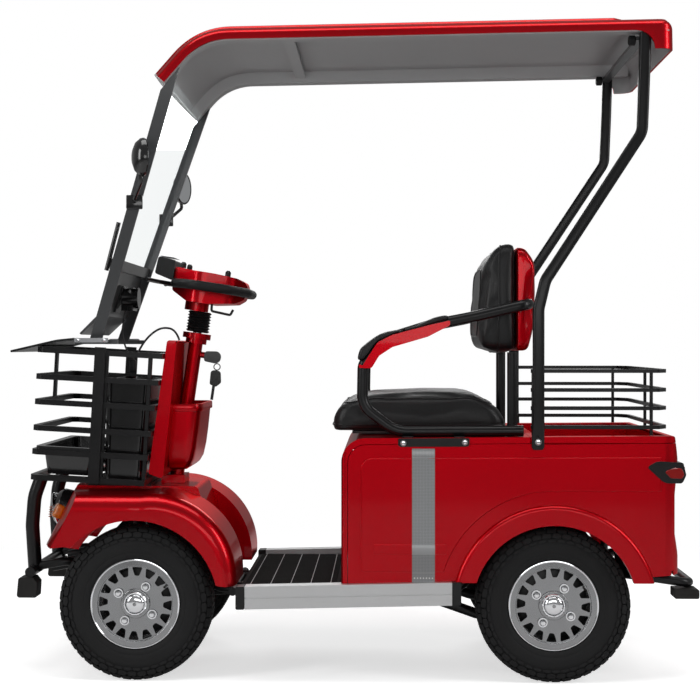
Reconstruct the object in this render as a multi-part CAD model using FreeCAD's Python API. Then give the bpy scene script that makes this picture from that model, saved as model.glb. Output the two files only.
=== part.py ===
import FreeCAD, Part
import math
import os

# Four-wheeled mobility scooter with roof, front basket and cargo box.
# Millimetres. -X is the front, -Y the left side, +Z up; the ground is z = 0,
# the origin lies on it, midway along the length and on the middle plane.

# Overall sizes
LENGTH = 1856.0
FRONT_AXLE_X = -574.0
WHEELBASE = 1108.0
BODY_HALF_WIDTH = 335.0
PANEL = 4.0
SEAT_GAP = 0.3
SHUT_LINE = 1.5

# Wheels
TYRE_RADIUS = 204.0
TYRE_WIDTH = 100.0
TYRE_BEAD_RADIUS = 104.0
WHEEL_HALF_TRACK = 272.0
RIM_FLANGE_RADIUS = 119.0
RIM_FACE_OUT = 34.0
RIM_SPOKES = 16
HUB_RADIUS = 39.0
AXLE_RADIUS = 12.0
RUNNING_FIT = 0.05

# Steering
STEERING_RAKE = 8.2
COLUMN_BEHIND = 19.4
KINGPIN_HALF_SPACING = 245.0
STEERING_ARM = 60.0
COLUMN_RADIUS = 20.0
SHAFT_RADIUS = 12.5

# Heights
FLOOR_Z = 238.0
DECK_Z = 494.0
BODY_BOTTOM_Z = 262.0
BODY_TOP_Z = 646.0
ROOF_EDGE_Z = 1717.0

REAR_AXLE_X = FRONT_AXLE_X + WHEELBASE
AXLE_Z = 204.0
GROUND_Z = AXLE_Z - TYRE_RADIUS
FRONT_TIP_X = -LENGTH / 2
REAR_TIP_X = LENGTH / 2


# Shape helpers

def vec(x, y, z):
    return FreeCAD.Vector(x, y, z)


def rounded_edges(corners, closed):
    """Lines through the corners, each corner a point and the radius of the arc that rounds it."""
    count = len(corners)
    cuts = []
    for index, (point, radius) in enumerate(corners):
        at_end = not closed and index in (0, count - 1)
        if radius == 0 or at_end:
            cuts.append((point, None, point))
            continue
        before = (corners[index - 1][0] - point).normalize()
        after = (corners[(index + 1) % count][0] - point).normalize()
        half_angle = before.getAngle(after) / 2
        reach = radius / math.tan(half_angle)
        inward = (before + after).normalize()
        middle = point + inward * (radius / math.sin(half_angle) - radius)
        cuts.append((point + before * reach, middle, point + after * reach))
    edges = []
    for index, (start, middle, end) in enumerate(cuts):
        if middle is not None:
            edges.append(Part.Arc(start, middle, end).toShape())
        if closed or index < count - 1:
            following = cuts[(index + 1) % count][0]
            if (following - end).Length > 1e-4:
                edges.append(Part.makeLine(end, following))
    return edges


def outline_wire(plane, outline, level):
    """Closed wire of (u, v) or (u, v, radius) corners in plane xz, xy or yz at the given level."""
    corners = []
    for corner in outline:
        u, v = corner[0], corner[1]
        radius = corner[2] if len(corner) > 2 else 0
        point = {"xz": vec(u, level, v), "xy": vec(u, v, level), "yz": vec(level, u, v)}[plane]
        corners.append((point, radius))
    return Part.Wire(rounded_edges(corners, True))


def prism(plane, outline, low, high):
    """Outline pushed from level low to level high across its plane."""
    push = {"xz": vec(0, high - low, 0), "xy": vec(0, 0, high - low), "yz": vec(high - low, 0, 0)}
    return Part.Face(outline_wire(plane, outline, low)).extrude(push[plane])


def box(low, high):
    return Part.makeBox(high[0] - low[0], high[1] - low[1], high[2] - low[2], vec(*low))


def rod(start, end, radius):
    start, end = vec(*start), vec(*end)
    return Part.makeCylinder(radius, (end - start).Length, start, end - start)


def tube(points, radius, bend):
    """Round bar along the points, bent at each inner point with the given radius."""
    corners = [(vec(*point[:3]), point[3] if len(point) > 3 else bend) for point in points]
    spine = Part.Wire(rounded_edges(corners, False))
    start = corners[0][0]
    along = corners[1][0] - start
    section = Part.Wire(Part.makeCircle(radius, start, along))
    return spine.makePipeShell([section], True, False)


def bar_loft(sections):
    """Straight-sided bar through closed sections, each a list of corner points."""
    wires = [Part.makePolygon([vec(*point) for point in points + points[:1]]) for points in sections]
    return Part.makeLoft(wires, True, True)


def turned(profile, centre):
    """Ring of a closed (radius, along, corner radius) outline turned about the cross axis."""
    corners = []
    for corner in profile:
        radius, along = corner[0], corner[1]
        bend = corner[2] if len(corner) > 2 else 0
        corners.append((vec(radius, along, 0), bend))
    face = Part.Face(Part.Wire(rounded_edges(corners, True)))
    solid = face.revolve(vec(0, 0, 0), vec(0, 1, 0), 360)
    solid.translate(vec(*centre))
    return solid


def mirrored(shape):
    return shape.mirror(vec(0, 0, 0), vec(0, 1, 0))


def both_sides(shape):
    return [shape, mirrored(shape)]


def fuse(shapes):
    joined = shapes[0].multiFuse(shapes[1:]) if len(shapes) > 1 else shapes[0]
    return joined.removeSplitter()


def raked(shape):
    """Moves a shape from the steering's own frame, axle centre and rake, to the scooter's."""
    placed = shape.copy()
    placed.rotate(vec(0, 0, 0), vec(0, 1, 0), STEERING_RAKE)
    placed.translate(vec(FRONT_AXLE_X, 0, AXLE_Z))
    return placed


def rounded_box(low, high, radius):
    block = box(low, high)
    return block.makeFillet(radius, block.Edges)


def save(node, shapes):
    """Writes one node; its solids are the given shapes' solids."""
    if not isinstance(shapes, list):
        shapes = [shapes]
    solids = [solid for shape in shapes for solid in shape.Solids]
    whole = solids[0] if len(solids) == 1 else Part.makeCompound(solids)
    whole = whole.translated(vec(0, 0, -GROUND_Z))
    whole.exportStep(os.path.join("parts", node + ".step"))
    print(node, len(solids), "valid" if whole.isValid() else "NOT VALID", round(whole.Volume / 1000), "cm3")


# Wheels

BEAD_HALF_WIDTH = 38.0
RIM_WALL = 4.0
RIM_BARREL_RADIUS = TYRE_BEAD_RADIUS - SEAT_GAP
SLOT_INNER_RADIUS = 74.0
SLOT_OUTER_RADIUS = 97.0
SLOT_ROOT_WIDTH = 12.0
DISC_THICKNESS = 9.0
LUG_CIRCLE_RADIUS = 53.0
LUG_COUNT = 4


def tyre(centre):
    half = TYRE_WIDTH / 2
    profile = [
        (TYRE_BEAD_RADIUS, -BEAD_HALF_WIDTH),
        (RIM_FLANGE_RADIUS + 0.6, -BEAD_HALF_WIDTH - 1, 0.5),
        (RIM_FLANGE_RADIUS + 3.5, -BEAD_HALF_WIDTH - 7, 3),
        (TYRE_RADIUS - 46, -half, 30),
        (TYRE_RADIUS - 4, -half + 4, 12),
        (TYRE_RADIUS, 0, 200),
        (TYRE_RADIUS - 4, half - 4, 12),
        (TYRE_RADIUS - 46, half, 30),
        (RIM_FLANGE_RADIUS + 3.5, BEAD_HALF_WIDTH + 7, 3),
        (RIM_FLANGE_RADIUS + 0.6, BEAD_HALF_WIDTH + 1, 0.5),
        (TYRE_BEAD_RADIUS, BEAD_HALF_WIDTH),
    ]
    return turned(profile, centre)


def rim(centre, side):
    """Cast wheel: barrel with two flanges, a slotted disc near the outer face, hub and cap."""
    seat, flange = RIM_BARREL_RADIUS, RIM_FLANGE_RADIUS
    edge = BEAD_HALF_WIDTH + SEAT_GAP
    barrel = turned([
        (seat, -edge), (flange, -edge - 1), (flange, -edge - 5, 1.5), (seat - RIM_WALL, -edge - 6, 2),
        (seat - RIM_WALL, edge + 6, 2), (flange, edge + 5, 1.5), (flange, edge + 1), (seat, edge)],
        (0, 0, 0))
    disc = turned([
        (0, -RIM_FACE_OUT), (seat - RIM_WALL + 1, -RIM_FACE_OUT - 3),
        (seat - RIM_WALL + 1, -RIM_FACE_OUT + DISC_THICKNESS), (0, -RIM_FACE_OUT + DISC_THICKNESS)],
        (0, 0, 0))
    pitch = 2 * math.pi / RIM_SPOKES
    root_half = SLOT_ROOT_WIDTH / 2
    tip_half = SLOT_OUTER_RADIUS * math.sin(pitch / 2) - 4.5
    slot = prism("xz", [
        (SLOT_INNER_RADIUS, -root_half, root_half - 1), (SLOT_OUTER_RADIUS, -tip_half, 3),
        (SLOT_OUTER_RADIUS, tip_half, 3), (SLOT_INNER_RADIUS, root_half, root_half - 1)],
        -RIM_FACE_OUT - 10, -RIM_FACE_OUT + DISC_THICKNESS + 5)
    slots = []
    for index in range(RIM_SPOKES):
        copy = slot.copy()
        copy.rotate(vec(0, 0, 0), vec(0, 1, 0), 360 / RIM_SPOKES * index + 3)
        slots.append(copy)
    disc = disc.cut(slots)
    hub = turned([
        (0, -RIM_FACE_OUT - 20), (22, -RIM_FACE_OUT - 17, 20), (28, -RIM_FACE_OUT - 8, 4),
        (HUB_RADIUS, -RIM_FACE_OUT - 7, 3), (HUB_RADIUS, -RIM_FACE_OUT + 2, 1),
        (HUB_RADIUS - 6, -6, 3), (0, -6)], (0, 0, 0))
    lugs = []
    for index in range(LUG_COUNT):
        angle = math.radians(360 / LUG_COUNT * index + 58)
        x, z = LUG_CIRCLE_RADIUS * math.cos(angle), LUG_CIRCLE_RADIUS * math.sin(angle)
        lugs.append(rod((x, -RIM_FACE_OUT - 6, z), (x, -RIM_FACE_OUT + 6, z), 7.5))
    bore = rod((0, -RIM_FACE_OUT + 4, 0), (0, 20, 0), AXLE_RADIUS + RUNNING_FIT)
    wheel = fuse([barrel, disc, hub] + lugs).cut(bore)
    if side > 0:
        wheel = mirrored(wheel)
    wheel.translate(vec(*centre))
    return wheel


WHEELS = [("front_left", FRONT_AXLE_X, -1), ("front_right", FRONT_AXLE_X, 1),
          ("rear_left", REAR_AXLE_X, -1), ("rear_right", REAR_AXLE_X, 1)]


def make_wheels():
    for place, x, side in WHEELS:
        centre = (x, side * WHEEL_HALF_TRACK, AXLE_Z)
        save("tyre_" + place, tyre(centre))
        save("rim_" + place, rim(centre, side))


# Steering gear, in the steering's own frame: z along the kingpins, origin at the axle centre

SLEEVE_RADIUS = 17.0
SLEEVE_HALF_HEIGHT = 25.0
KINGPIN_RADIUS = 10.0
LUG_THICKNESS = 8.0
LUG_TOP = SLEEVE_HALF_HEIGHT + SEAT_GAP
WEB_Y = KINGPIN_HALF_SPACING + SLEEVE_RADIUS + 5
WEB_THICKNESS = 8.0
TIE_ROD_Z = LUG_TOP + LUG_THICKNESS + 6
TIE_ROD_HALF = 5.0
TIE_PIN_RADIUS = 5.0
PITMAN_Z = TIE_ROD_Z + TIE_ROD_HALF + SEAT_GAP
STUB_END = WHEEL_HALF_TRACK + RIM_FACE_OUT - 5
SHAFT_TOP = 800.0


def steering_arm_plate(x, y, length, low, high, width):
    plate = prism("xy", [(x - width / 2, y - width / 2, width / 2 - 0.5),
                         (x + length + width / 2, y - width / 2, width / 2 - 0.5),
                         (x + length + width / 2, y + width / 2, width / 2 - 0.5),
                         (x - width / 2, y + width / 2, width / 2 - 0.5)], low, high)
    return plate


def knuckle():
    """Left steering knuckle: two lugs about the axle sleeve, kingpin, stub axle and steering arm."""
    y = -KINGPIN_HALF_SPACING
    lug_outline = [(-SLEEVE_RADIUS, y + SLEEVE_RADIUS, 12), (SLEEVE_RADIUS, y + SLEEVE_RADIUS, 12),
                   (SLEEVE_RADIUS, -WEB_Y), (-SLEEVE_RADIUS, -WEB_Y)]
    upper = prism("xy", lug_outline, LUG_TOP, LUG_TOP + LUG_THICKNESS)
    lower = prism("xy", lug_outline, -LUG_TOP - LUG_THICKNESS, -LUG_TOP)
    web = box((-SLEEVE_RADIUS, -WEB_Y - WEB_THICKNESS, -LUG_TOP - LUG_THICKNESS),
              (SLEEVE_RADIUS, -WEB_Y, LUG_TOP + LUG_THICKNESS))
    kingpin = rod((0, y, -LUG_TOP - LUG_THICKNESS - 4), (0, y, LUG_TOP + LUG_THICKNESS + 3), KINGPIN_RADIUS)
    arm = steering_arm_plate(0, y, STEERING_ARM, LUG_TOP, LUG_TOP + LUG_THICKNESS, 22)
    eye = rod((STEERING_ARM, y, LUG_TOP - 5), (STEERING_ARM, y, TIE_ROD_Z + 20), TIE_PIN_RADIUS + 1.5)
    whole = raked(fuse([upper, lower, web, kingpin, arm]).cut(eye))
    stub = rod((FRONT_AXLE_X, -WEB_Y - 2, AXLE_Z), (FRONT_AXLE_X, -STUB_END, AXLE_Z), AXLE_RADIUS)
    return fuse([whole, stub])


def tie_rod():
    """Cross bar with a rear lug for the pitman pin and a downward pin at each knuckle arm."""
    y = KINGPIN_HALF_SPACING
    low, high = TIE_ROD_Z - TIE_ROD_HALF, TIE_ROD_Z + TIE_ROD_HALF
    bar = box((STEERING_ARM - 6, -y, low), (STEERING_ARM + 6, y, high))
    pins = []
    for side in (-1, 1):
        pins.append(rod((STEERING_ARM, side * y, low), (STEERING_ARM, side * y, high), 10))
        pins.append(rod((STEERING_ARM, side * y, LUG_TOP - 3), (STEERING_ARM, side * y, low + 1),
                        TIE_PIN_RADIUS))
    lug_reach = COLUMN_BEHIND
    lug = steering_arm_plate(STEERING_ARM, 0, lug_reach, low, high, 24)
    eye = rod((STEERING_ARM + lug_reach, 0, low - 5), (STEERING_ARM + lug_reach, 0, high + 5),
              TIE_PIN_RADIUS + RUNNING_FIT)
    return raked(fuse([bar, lug] + pins).cut(eye))


def steering_shaft():
    """Column shaft with the pitman arm and its pin at the foot."""
    x = COLUMN_BEHIND
    shaft = rod((x, 0, PITMAN_Z), (x, 0, SHAFT_TOP), SHAFT_RADIUS)
    arm = steering_arm_plate(x, 0, STEERING_ARM, PITMAN_Z, PITMAN_Z + 9, 26)
    pin = rod((x + STEERING_ARM, 0, TIE_ROD_Z - TIE_ROD_HALF - 2), (x + STEERING_ARM, 0, PITMAN_Z + 4),
              TIE_PIN_RADIUS)
    return raked(fuse([shaft, arm, pin]))


# Front suspension and axle

BEAM_RADIUS = 20.0
RAIL_Y = 100.0
RAIL_RADIUS = 15.0
FRONT_RAIL_Z = 300.0
REAR_RAIL_Z = 400.0
CROSS_RADIUS = 12.0
EYE_RADIUS = 14.0
FRONT_HOOP_X = -604.0
FRONT_HOOP_Z = 420.0
SHOCK_CROSS_X = 590.0
FLOOR_RAIL_Z = 213.0


def front_axle():
    """Beam with a raked kingpin sleeve at each end and two brackets for the leading arms."""
    reach = KINGPIN_HALF_SPACING - SLEEVE_RADIUS + 3
    beam = rod((FRONT_AXLE_X, -reach, AXLE_Z), (FRONT_AXLE_X, reach, AXLE_Z), BEAM_RADIUS)
    pieces = [beam]
    bores = []
    for side in (-1, 1):
        y = side * KINGPIN_HALF_SPACING
        pieces.append(raked(rod((0, y, -SLEEVE_HALF_HEIGHT), (0, y, SLEEVE_HALF_HEIGHT), SLEEVE_RADIUS)))
        bores.append(raked(rod((0, y, -40), (0, y, 40), KINGPIN_RADIUS + RUNNING_FIT)))
    return fuse(pieces).cut(bores)


def shock(foot, head):
    """Damper with its spring as one closed sleeve between two end eyes."""
    foot, head = vec(*foot), vec(*head)
    along = (head - foot)
    length = along.Length
    along = along.normalize()
    body = Part.makeCylinder(9, length, foot, along)
    spring = Part.makeCylinder(21, length * 0.62, foot + along * (length * 0.2), along)
    lower = Part.makeCylinder(14, 24, foot - vec(0, 12, 0), vec(0, 1, 0))
    upper = Part.makeCylinder(14, 24, head - vec(0, 12, 0), vec(0, 1, 0))
    return fuse([body, spring, lower, upper])


def suspension():
    """Leading arms and dampers of the front axle, trailing arms and dampers of the rear axle."""
    front_arm = tube([(FRONT_AXLE_X + BEAM_RADIUS + 11.3, -70, AXLE_Z - 4), (-470, -70, 190),
                      (-341.4, -70, 200)], 11, 60)
    front_shock = shock((FRONT_AXLE_X, -62, AXLE_Z + BEAM_RADIUS + EYE_RADIUS + SEAT_GAP),
                        (FRONT_HOOP_X, -62, FRONT_HOOP_Z - CROSS_RADIUS - EYE_RADIUS - SEAT_GAP))
    arm_z = AXLE_Z - 36.3
    rear_arm = tube([(240, -150, 186.7), (345, -150, 150), (440, -150, 150), (500, -150, arm_z),
                     (REAR_AXLE_X + 30, -150, arm_z)], 14, 60)
    rear_shock = shock((REAR_AXLE_X + 22 + EYE_RADIUS + SEAT_GAP, -150, AXLE_Z),
                       (SHOCK_CROSS_X, -150, REAR_RAIL_Z - CROSS_RADIUS - EYE_RADIUS - SEAT_GAP))
    pieces = []
    for piece in (front_arm, front_shock, rear_arm, rear_shock):
        pieces += both_sides(piece)
    return pieces


def chassis_frame():
    """Two round side rails kicked up over both axles, cross tubes, deck posts and the floor plate."""
    path = [(-845, -RAIL_Y, FRONT_RAIL_Z - 30), (-700, -RAIL_Y, FRONT_RAIL_Z),
            (-455, -RAIL_Y, FRONT_RAIL_Z),
            (-385, -RAIL_Y, FLOOR_RAIL_Z), (300, -RAIL_Y, FLOOR_RAIL_Z), (430, -RAIL_Y, REAR_RAIL_Z),
            (800, -RAIL_Y, REAR_RAIL_Z)]
    pieces = both_sides(tube(path, RAIL_RADIUS, 60))
    crossings = [(-700, FRONT_RAIL_Z, RAIL_Y), (-330, FLOOR_RAIL_Z, 175), (20, FLOOR_RAIL_Z, 175),
                 (240, FLOOR_RAIL_Z, 175), (SHOCK_CROSS_X, REAR_RAIL_Z, 165), (760, REAR_RAIL_Z, RAIL_Y),
                 (FRONT_HOOP_X, FRONT_HOOP_Z, RAIL_Y)]
    for x, z, half in crossings:
        pieces.append(rod((x, -half, z), (x, half, z), CROSS_RADIUS))
    post_top = DECK_Z - PANEL + 5.2
    for side in (-1, 1):
        y = side * RAIL_Y
        pieces.append(rod((FRONT_HOOP_X, y, FRONT_RAIL_Z), (FRONT_HOOP_X, y, post_top), CROSS_RADIUS))
    plate = box((-300, 7 - BOARD_IN, FLOOR_Z - 8), (280, BOARD_IN - 7, FLOOR_Z))
    pieces.append(plate)
    for x in (-200, 160):
        pieces.append(box((x, -312, FLOOR_Z - 30), (x + 40, 312, FLOOR_Z - 6)))
    return fuse(pieces)


def battery():
    return box((10, -160, FLOOR_Z + SEAT_GAP), (275, 160, 470))


def rear_axle():
    """Driven axle: tube, differential case, gear case and motor, with a stub for each wheel."""
    x, z = REAR_AXLE_X, AXLE_Z
    reach = WHEEL_HALF_TRACK - 16
    housing = rod((x, -reach, z), (x, reach, z), 22)
    stubs = rod((x, -STUB_END, z), (x, STUB_END, z), AXLE_RADIUS)
    case = turned([(0, -48), (50, -48, 10), (76, -20, 16), (76, 20, 16), (50, 48, 10), (0, 48)], (x, 20, z))
    gear_case = box((x - 20, 58, z - 20), (x + 40, 98, z + 60))
    motor = rod((x + 20, -124, z + 45), (x + 20, 100, z + 45), 52)
    return fuse([housing, stubs, case, gear_case, motor])


# Floor and running boards

BOARD_RISE = 13.0
BOARD_FRONT_X = -279.0
BOARD_REAR_X = 265.0
BOARD_OUT = BODY_HALF_WIDTH + 17.0
BOARD_IN = BODY_HALF_WIDTH - 23.0
BOARD_HEIGHT = 60.0
MAT_THICKNESS = 10.0


def board_outline(front, rear):
    """Side outline of the sloping board between two X places."""
    slope = BOARD_RISE / (BOARD_REAR_X - BOARD_FRONT_X)
    low_front = 197 + (front - BOARD_FRONT_X) * slope
    low_rear = 197 + (rear - BOARD_FRONT_X) * slope
    return [(front, low_front), (rear, low_rear), (rear, low_rear + BOARD_HEIGHT),
            (front, low_front + BOARD_HEIGHT)]


def running_board():
    board = prism("xz", board_outline(BOARD_FRONT_X, BOARD_REAR_X), -BOARD_OUT, -BOARD_IN)
    mid = [(x, z - BOARD_HEIGHT / 2) for x, z in board_outline(BOARD_FRONT_X - 1, BOARD_REAR_X + 1)[2:]]
    (rear_x, rear_z), (front_x, front_z) = mid
    groove = prism("xz", [(front_x, front_z - 2), (rear_x, rear_z - 2), (rear_x, rear_z + 2),
                          (front_x, front_z + 2)],
                   -BOARD_OUT - 1, -BOARD_OUT + 3)
    return board.cut(groove)


def board_space():
    """Room that the body leaves for the left board and its caps."""
    outline = board_outline(BOARD_FRONT_X - 26, BOARD_REAR_X + 26)
    lifted = outline[:2] + [(x, z + 0.5) for x, z in outline[2:]]
    return prism("xz", lifted, -BOARD_OUT - 2, -BOARD_IN + 2)


def running_board_caps():
    caps = []
    for front, rear in ((BOARD_FRONT_X - 24, BOARD_FRONT_X - SEAT_GAP),
                        (BOARD_REAR_X + SEAT_GAP, BOARD_REAR_X + 24)):
        outline = board_outline(front, rear)
        rounded = [(x, z, 4) for x, z in outline]
        caps.append(prism("xz", rounded, -BOARD_OUT - 1, -BOARD_IN - SEAT_GAP))
    return caps


def floor_mat():
    mat = box((-300, -BOARD_IN, FLOOR_Z + SEAT_GAP), (-30, BOARD_IN, FLOOR_Z + MAT_THICKNESS))
    return mat


# Front fender

FENDER_HALF_WIDTH = 345.0
ARCH_RADIUS_FRONT = 225.0
DOME_INNER_Y = 128.0
DOME_ROUNDING = 42.0
DOME_TAIL = 120.0
NOSE_BOW = 60.0
NOSE_LOW = (-794.0, 354.0)
NOSE_SLOPE = 79.0 / 151.0


def dome_block(inset, y_low, y_high):
    """Side profile of a fender dome: nose, level deck and an arc down past the floor."""
    arc_end = vec(-306 - inset, 0, 250)
    arc_mid = vec(-366 - inset * 0.7, 0, 425 - inset * 0.7)
    arc_start = vec(-560, 0, DECK_Z - inset)
    arc = Part.Arc(arc_start, arc_mid, arc_end).toShape()
    tail = arc_end + arc.tangentAt(arc.LastParameter) * DOME_TAIL
    points = [arc_end, tail, vec(-900, 0, tail.z), vec(-900, 0, DECK_Z - inset), arc_start]
    edges = [Part.makeLine(points[i], points[i + 1]) for i in range(len(points) - 1)]
    face = Part.Face(Part.Wire(edges + [arc]))
    face.translate(vec(0, y_low, 0))
    return face.extrude(vec(0, y_high - y_low, 0))


def dome_underside():
    """Everything below the lower edge of the domes."""
    outline = [(-200, 235), (-306, 250), (-350, 257), (-757, 359), (-900, 340), (-1000, 340), (-1000, 0),
               (-200, 0)]
    return prism("xz", outline, -400, 400)


def nose_prism(inset):
    """Everything behind the bowed, backward-leaning front face."""
    x, z = NOSE_LOW
    half = FENDER_HALF_WIDTH
    reach = half + 60
    base = z - 100
    front = x + inset - 100 * NOSE_SLOPE
    bow_radius = (half ** 2 + NOSE_BOW ** 2) / (2 * NOSE_BOW)
    nose = front - NOSE_BOW
    back = nose + bow_radius - math.sqrt(bow_radius ** 2 - reach ** 2)
    edges = [Part.Arc(vec(back, -reach, base), vec(nose, 0, base), vec(back, reach, base)).toShape(),
             Part.makeLine(vec(back, reach, base), vec(-100, reach, base)),
             Part.makeLine(vec(-100, reach, base), vec(-100, -reach, base)),
             Part.makeLine(vec(-100, -reach, base), vec(back, -reach, base))]
    face = Part.Face(Part.Wire(edges))
    return face.extrude(vec(300 * NOSE_SLOPE, 0, 300))


def outer_dome(inset):
    """Left dome with its outer shoulder rounded."""
    half = FENDER_HALF_WIDTH - inset
    dome = dome_block(inset, -half, -DOME_INNER_Y - inset)
    radius = DOME_ROUNDING - inset
    shoulder = []
    for edge in dome.Edges:
        middle = edge.CenterOfMass
        if abs(middle.y + half) < 0.01 and middle.z > 250 - DOME_TAIL * 0.75 and middle.x > -899:
            shoulder.append(edge)
    dome = dome.makeFillet(radius, shoulder)
    return dome if inset else dome.cut(dome_underside())


def centre_block(inset):
    """Raised middle of the fender: deck, and the wall in front of the rider's feet."""
    low = -60 if inset else 0
    outline = [(-900, 340 + low), (-900, DECK_Z + 8 - inset),
               (-432 - inset, DECK_Z + 4 - inset, 16 - inset),
               (-404 - inset, 400, 60), (-352 - inset, 262 + low)]
    return prism("xz", outline, -DOME_INNER_Y - 1 + inset, DOME_INNER_Y + 1 - inset)


def fender_block(inset):
    left = outer_dome(inset)
    return fuse([left, mirrored(left), centre_block(inset)])


def front_fender():
    outer = fender_block(0).common(nose_prism(0))
    inner = fender_block(PANEL).common(nose_prism(PANEL))
    shell = outer.cut(inner)
    arch = rod((FRONT_AXLE_X, -400, AXLE_Z), (FRONT_AXLE_X, 400, AXLE_Z), ARCH_RADIUS_FRONT)
    below = box((-1000, -400, 0), (0, 400, 249))
    column = raked(rod((COLUMN_BEHIND, 0, 200), (COLUMN_BEHIND, 0, 420), COLUMN_RADIUS + 6))
    lamps = [headlight(SEAT_GAP)] + both_sides(indicator(SEAT_GAP))
    return shell.cut([arch, below, column] + lamps)


def headlight(grow=0.0):
    """Round lamp on the nose: a bezel tube with a domed lens."""
    g = grow
    lamp = turned([(0, -34 - g), (40 + g, -30 - g, 20), (52 + g, -14 - g, 6), (52 + g, 14 + g, 2),
                   (0, 14 + g)], (0, 0, 0))
    lamp.rotate(vec(0, 0, 0), vec(0, 0, 1), -90)
    lamp.rotate(vec(0, 0, 0), vec(0, 1, 0), 12)
    lamp.translate(vec(-829, 0, 424))
    return lamp


def indicator(grow=0.0):
    g = grow
    lamp = rounded_box((-14 - g, -22 - g, -20 - g), (10 + g, 22 + g, 20 + g), 8)
    lamp.rotate(vec(0, 0, 0), vec(0, 1, 0), 27.6)
    lamp.rotate(vec(0, 0, 0), vec(0, 0, 1), 20)
    lamp.translate(vec(-816, -150, 430))
    return lamp


# Bumpers

BUMPER_TUBE_RADIUS = 19.0
FRONT_BUMPER_Y = 140.0


def front_bumper():
    uprights = []
    for side in (-1, 1):
        y = side * FRONT_BUMPER_Y
        uprights.append(tube([(-868, y, 520), (-886, y, 470), (-892, y, 390), (-884, y, 262)],
                             BUMPER_TUBE_RADIUS, 120))
        uprights.append(tube([(-884, y, 275), (-800, y, 290),
                              (-770, side * (RAIL_Y + RAIL_RADIUS + 12 + SEAT_GAP), 284)], 12, 40))
    cross = rod((-884, -200, 268), (-884, 200, 268), 14)
    return fuse(uprights + [cross])


def front_blocks():
    return both_sides(prism("xz", [(-920, 199, 8), (-866, 199, 4), (-864, 240, 3), (-875, 253.7, 3),
                                   (-915, 253.7, 6)],
                            -205, -150))


def rear_bumper():
    """Hoop under the tail with two arms back to the frame."""
    hoop = tube([(745, -RAIL_Y - 90, 268), (800, -238, 268), (910, -238, 252), (910, 238, 252),
                 (800, 238, 268),
                 (745, RAIL_Y + 90, 268)], 12, 30)
    struts = []
    for side in (-1, 1):
        struts.append(tube([(751, side * 195, 268), (735, side * 130, 290),
                            (735, side * RAIL_Y, REAR_RAIL_Z - RAIL_RADIUS - 1.4)], 11, 24))
    return fuse([hoop] + struts)


def rear_blocks():
    return both_sides(prism("xz", [(862, 214, 5), (REAR_TIP_X, 214, 5), (REAR_TIP_X, 236, 4),
                                   (REAR_TIP_X - 4, 239.7, 2),
                                   (862, 239.7, 3)], -262, -205))


# Basket, in its own level frame at the foot of its side posts, then tilted nose up

BASKET_TILT = 3.2
BASKET_FOOT = (-703.0, 515.0)
BASKET_HALF_WIDTH = 230.0
BASKET_FRONT = -176.0
BASKET_REAR = 138.5
BASKET_REAR_LEAN = 0.0883
RAIL_BAR = 15.0
RAIL_TOP = 363.0
RAIL_LEVELS = (0.0, 70.0, 135.0, 206.0, 275.0, RAIL_TOP - RAIL_BAR)
BASKET_CORNER_CUT = 16.0


def tilted(shape):
    placed = shape.copy()
    placed.rotate(vec(0, 0, 0), vec(0, 1, 0), BASKET_TILT)
    placed.translate(vec(BASKET_FOOT[0], 0, BASKET_FOOT[1]))
    return placed


def hoop_outline(inset, rear):
    front, half, cut = BASKET_FRONT + inset, BASKET_HALF_WIDTH - inset, BASKET_CORNER_CUT
    return [(rear, -half), (rear, half), (front + cut, half, 5), (front, half - cut, 5),
            (front, -half + cut, 5),
            (front + cut, -half, 5)]


def basket_hoop(level, rear):
    outer = prism("xy", hoop_outline(0, rear), level, level + RAIL_BAR)
    inner = prism("xy", hoop_outline(RAIL_BAR, rear - RAIL_BAR), level - 1, level + RAIL_BAR + 1)
    return outer.cut(inner)


def basket_frame():
    """Six square-tube hoops on two flat side posts, front centre post and the base plate."""
    pieces = []
    for level in RAIL_LEVELS:
        pieces.append(basket_hoop(level, BASKET_REAR + BASKET_REAR_LEAN * level))
    for side in (-1, 1):
        low_y = side * BASKET_HALF_WIDTH - (6 if side < 0 else 0)
        pieces.append(box((-15, low_y, 0), (15, low_y + 6, 371)))
        inner = side * (BASKET_HALF_WIDTH - RAIL_BAR)
        pieces.append(box((8, min(inner, inner + side * 10), 0), (22, max(inner, inner + side * 10), 349)))
        inward = inner - side * RAIL_BAR
        pieces.append(box((BASKET_REAR - 10, min(inner, inward), 0),
                          (BASKET_REAR, max(inner, inward), RAIL_LEVELS[-1] + 1)))
    pieces.append(box((BASKET_FRONT, -10, 206), (BASKET_FRONT + 8, 10, 349)))
    for y in (-120, 120):
        pieces.append(box((BASKET_FRONT + 4, y - 15, 0), (BASKET_REAR - 4, y + 15, 5)))
    return tilted(fuse(pieces))


def rounded_rectangle(low, high, rounding):
    return [(low[0], low[1], rounding), (high[0], low[1], rounding), (high[0], high[1], rounding),
            (low[0], high[1], rounding)]


def tapered_tub(low, high, taper, wall, rounding, rim):
    """Open box whose walls lean in towards the floor.

    rim is how far its edge stands out at the front, the sides and the rear.
    """
    def block(inset, base):
        top = rounded_rectangle((low[0] + inset, low[1] + inset), (high[0] - inset, high[1] - inset),
                                rounding)
        shift = taper + inset
        foot = rounded_rectangle((low[0] + shift, low[1] + shift), (high[0] - shift, high[1] - shift),
                                 rounding)
        return Part.makeLoft([outline_wire("xy", foot, base), outline_wire("xy", top, high[2])], True, True)
    tub = block(0, low[2]).cut(block(wall, low[2] + wall))
    front, side, rear = rim
    edge = rounded_rectangle((low[0] - front, low[1] - side), (high[0] + rear, high[1] + side), rounding)
    mouth = rounded_rectangle((low[0] + wall, low[1] + wall), (high[0] - wall, high[1] - wall), rounding)
    lip = prism("xy", edge, high[2] - 8, high[2]).cut(prism("xy", mouth, high[2] - 9, high[2] + 1))
    return fuse([tub, lip])


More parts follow.
